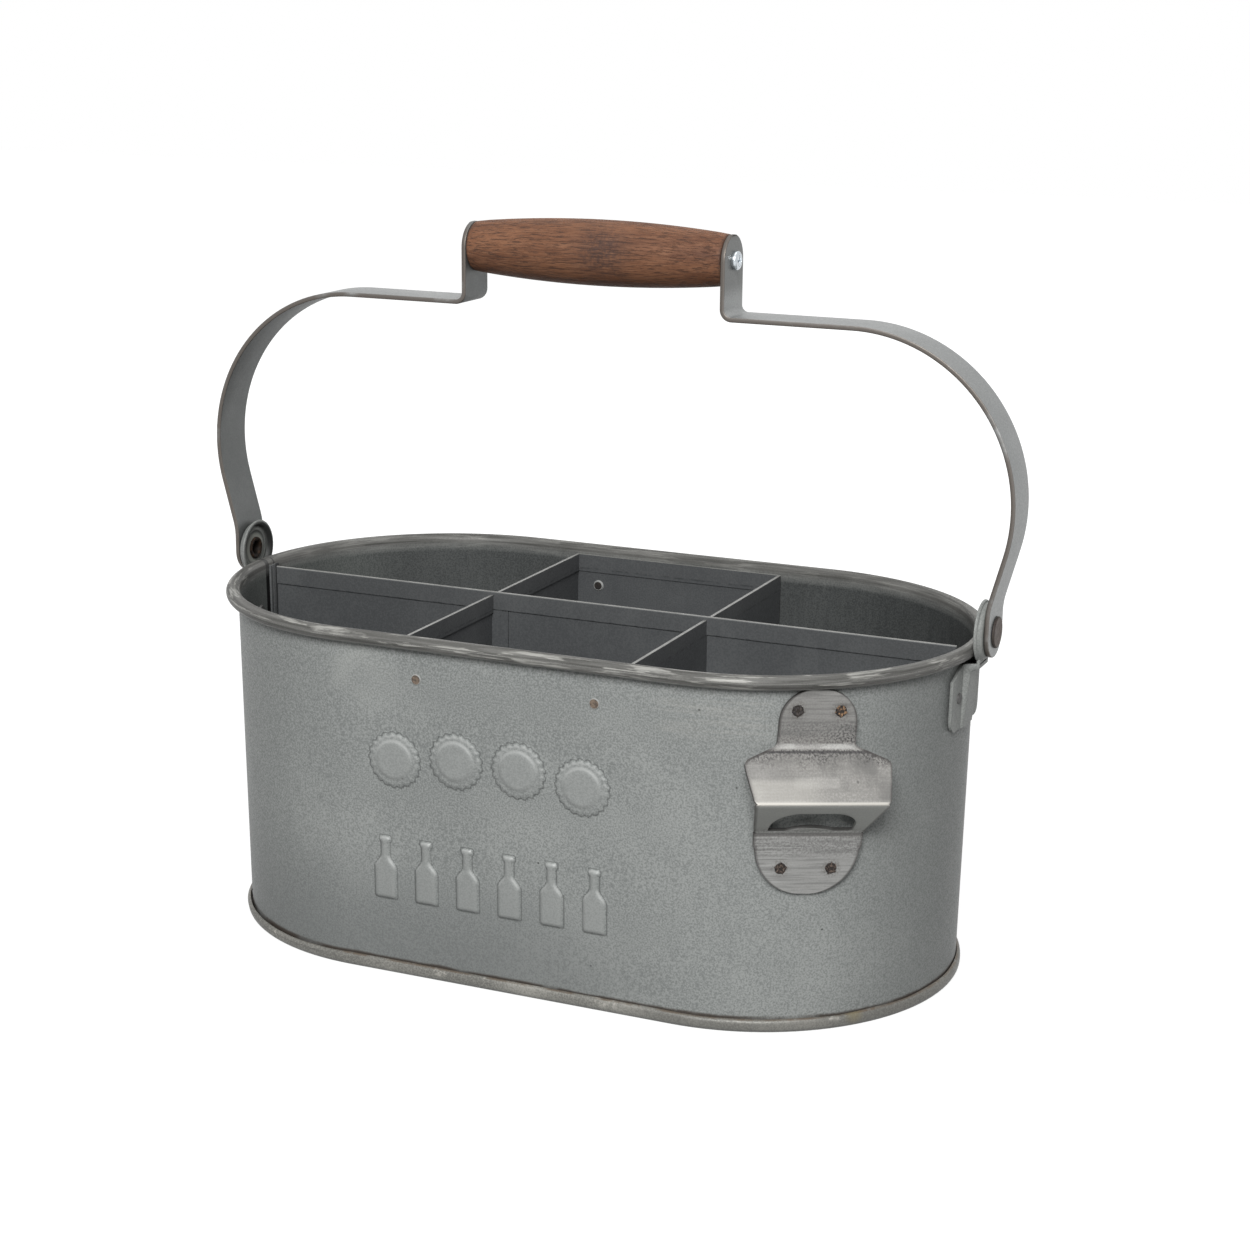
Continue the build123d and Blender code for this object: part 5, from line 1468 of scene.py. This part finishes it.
def ear_material():
    """The dished ears and brackets: strap sheet, dirt and painted shade in the grooves, rubbed pale round
    the pivot.
    """
    look = Look("bracket_zinc")
    look.start_zinc((0.24, 0.25, 0.24), (0.33, 0.34, 0.325), (0.135, 0.141, 0.137), 0.35, 0.6, 0.4)
    x, y, z = look.axes()
    away = look.from_axis(y, z - PIVOT_HEIGHT)
    look.tint(0.5, away.ramp(10.6 * MM, 11.2 * MM, 1.0, 0.0), (0.17, 0.178, 0.165))
    look.tint(0.65, away.between(*PIVOT_RUBBED), (0.38, 0.39, 0.35))
    # Dirt and painted shade in the dish's grooves.
    look.tint(0.95, look.attribute("edge"), (0.012, 0.012, 0.012))
    return look.finish(0.1, 0.18, 0.15)


def screw_material():
    """Bright zinc of the grip's screws."""
    look = Look("bright_zinc")
    look.start(look.noise(300.0), (0.4, 0.44, 0.47), (0.66, 0.7, 0.73), 0.25)
    return look.finish(1.0)


def wood_material():
    """Reddish brown open-grained wood, the grain along the grip and a dark smudge in front."""
    look = Look("grip_wood")
    figure = look.noise(16.0, 5.0, 0.65, (1.0, 8.0, 8.0))
    grain = look.noise(70.0, 5.0, 0.7, (1.0, 18.0, 18.0))
    pore = look.noise(220.0, 4.0, 0.75, (0.5, 8.0, 8.0)).ramp(0.5, 0.62)
    look.start(figure.ramp(0.35, 0.68), (0.085, 0.032, 0.015), (0.185, 0.082, 0.042), 0.62, pore * -1.0)
    look.tint(0.5, grain.ramp(0.48, 0.66), (0.25, 0.125, 0.07))
    look.tint(0.55, grain.ramp(0.46, 0.32), (0.05, 0.022, 0.013))
    look.tint(0.75, pore, (0.03, 0.014, 0.009))
    smudge = look.spot(GRIP_SMUDGE, 10 * MM, 9 * MM) * look.noise(520.0, 5.0, 0.7).ramp(0.25, 0.7)
    look.tint(0.85, smudge, (0.035, 0.021, 0.019))
    x, y, z = look.axes()
    look.tint(0.75, abs(x).ramp(0.0565, 0.0582), (0.02, 0.011, 0.008))
    return look.finish(0.0, 0.6, 0.3, 0.15 * MM)


def set_material(piece, material):
    """Give a piece one material all over."""
    piece.data.materials.clear()
    piece.data.materials.append(material)


# Scene


def make_floor():
    """A pale floor that the camera sees as white, but for the object's shadow."""
    bpy.ops.object.select_all(action="DESELECT")
    bpy.ops.mesh.primitive_plane_add(size=8, location=(0, 0, 0))
    floor = bpy.context.object
    floor.name = "floor"
    look = Look("pale_floor")
    look.tree.nodes.remove(look.shader)
    diffuse = look.add("ShaderNodeBsdfDiffuse", Color=(0.22, 0.22, 0.22))
    away = look.measure("LENGTH", look.place)
    strength = look.seen() * away.ramp(0.3, 0.7, 0.86, 1.0)
    glow = look.add("ShaderNodeEmission", Color=(1, 1, 1), Strength=strength)
    both = look.add("ShaderNodeAddShader", _0=diffuse.outputs[0], _1=glow.outputs[0])
    look.fill(look.tree.nodes["Material Output"].inputs["Surface"], both.outputs[0])
    set_material(floor, look.material)


def make_lights():
    """White surroundings and soft studio lamps."""
    world = bpy.data.worlds.new("studio")
    bpy.context.scene.world = world
    world.use_nodes = True
    nodes = Nodes(world.node_tree)
    lit = nodes.add("ShaderNodeMapRange", Value=nodes.seen(), To_Min=0.14, To_Max=1.0)
    background = nodes.tree.nodes["Background"].inputs
    nodes.fill(background["Strength"], lit.outputs[0])
    nodes.fill(background["Color"], (1, 1, 1))
    for name, place, size, power in (
        ("key", (0.5, -1.58, 1.28), 0.8, 46),
        ("top", (0.0, 0.1, 1.9), 1.4, 8),
        ("back", (-0.3, 1.7, 1.0), 1.2, 16),
    ):
        light = bpy.data.lights.new(name, "AREA")
        light.size = size
        light.energy = power
        lamp = bpy.data.objects.new(name, light)
        bpy.context.scene.collection.objects.link(lamp)
        lamp.location = place
        lamp.rotation_euler = (Vector((0, 0, 0.12)) - lamp.location).to_track_quat("-Z", "Y").to_euler()
        lamp.visible_glossy = name != "back"


def make_camera():
    """The camera that the photograph was taken from, worked out from the object's outline."""
    data = bpy.data.cameras.new("camera")
    camera = bpy.data.objects.new("camera", data)
    bpy.context.scene.collection.objects.link(camera)
    bpy.context.scene.camera = camera
    camera.location = (0.4261, -0.9460, 0.4074)
    target = Vector((0.013, 0, 0.13872))
    roll = math.radians(0.6)
    turn = (target - camera.location).to_track_quat("-Z", "Y").to_matrix()
    camera.rotation_euler = (turn @ Matrix.Rotation(roll, 3, "Z")).to_euler()
    data.sensor_width = 36
    data.lens = 71.1
    data.clip_start = 0.01


wall = wall_material()
bead = pan_material()
divider = divider_material()
strap_zinc = strap_material()
opener_steel = opener_material()
rust = rust_material()
dark_rivet = ear_rivet_material()
pivot_steel = pivot_material()
spot_rust = spot_material()
seam_sheet = seam_material()
ear_zinc = ear_material()
bright = screw_material()
wood = wood_material()

for material, names in (
    (wall, ("tub_shell", "rim_wire")),
    (bead, ("base_pan",)),
    (divider, ("long_divider", "front_cell_frame", "rear_cell_frame")),
    (rust, ("front_cell_rivets", "rear_cell_rivets", "opener_rivets")),
    (ear_zinc, ("left_ear_bracket", "right_ear_bracket")),
    (dark_rivet, ("left_ear_rivets", "right_ear_rivets")),
    (pivot_steel, ("left_pivot_rivet", "right_pivot_rivet")),
    (opener_steel, ("bottle_opener",)),
    (strap_zinc, ("left_strap", "right_strap")),
    (wood, ("wood_grip",)),
    (bright, ("left_grip_screw", "right_grip_screw")),
):
    for name in names:
        set_material(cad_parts[name], material)


def put(piece, material, body, slot, *nodes):
    """Finish a piece: its material, the body it rides on and the nodes it stands for."""
    set_material(piece, material)
    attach(piece, body)
    if nodes:
        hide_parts(*nodes)


def put_both(piece, material, body, slot, node):
    """Finish a right piece and its mirror image at the left."""
    left = mirrored(piece, piece.name.replace("right", "left"))
    put(left, material, body, slot, "left_" + node)
    put(piece, material, body, slot, "right_" + node)


put(make_tub_shell(), wall, "caddy", "galvanised", "tub_shell")
put(make_wall_seam(), seam_sheet, "caddy", "galvanised", "tub_shell")
put(make_base_pan(), bead, "caddy", "pan_steel", "base_pan")
put_both(make_strap(), strap_zinc, "bail", "strap_steel", "strap")
put(make_grip(), wood, "bail", "wood", "wood_grip")
put_both(make_grip_screw(), bright, "bail", "zinc_screw", "grip_screw")
put_both(make_ear_bracket(), ear_zinc, "caddy", "strap_steel", "ear_bracket")
put_both(make_pivot_rivet(), pivot_steel, "caddy", "rivet_steel", "pivot_rivet")
put(make_opener(), opener_steel, "caddy", "opener_steel", "bottle_opener")
put(make_opener_spots(), spot_rust, "caddy", "rivet_steel")

make_floor()
make_lights()
make_camera()
bpy.context.scene.view_settings.view_transform = "Standard"
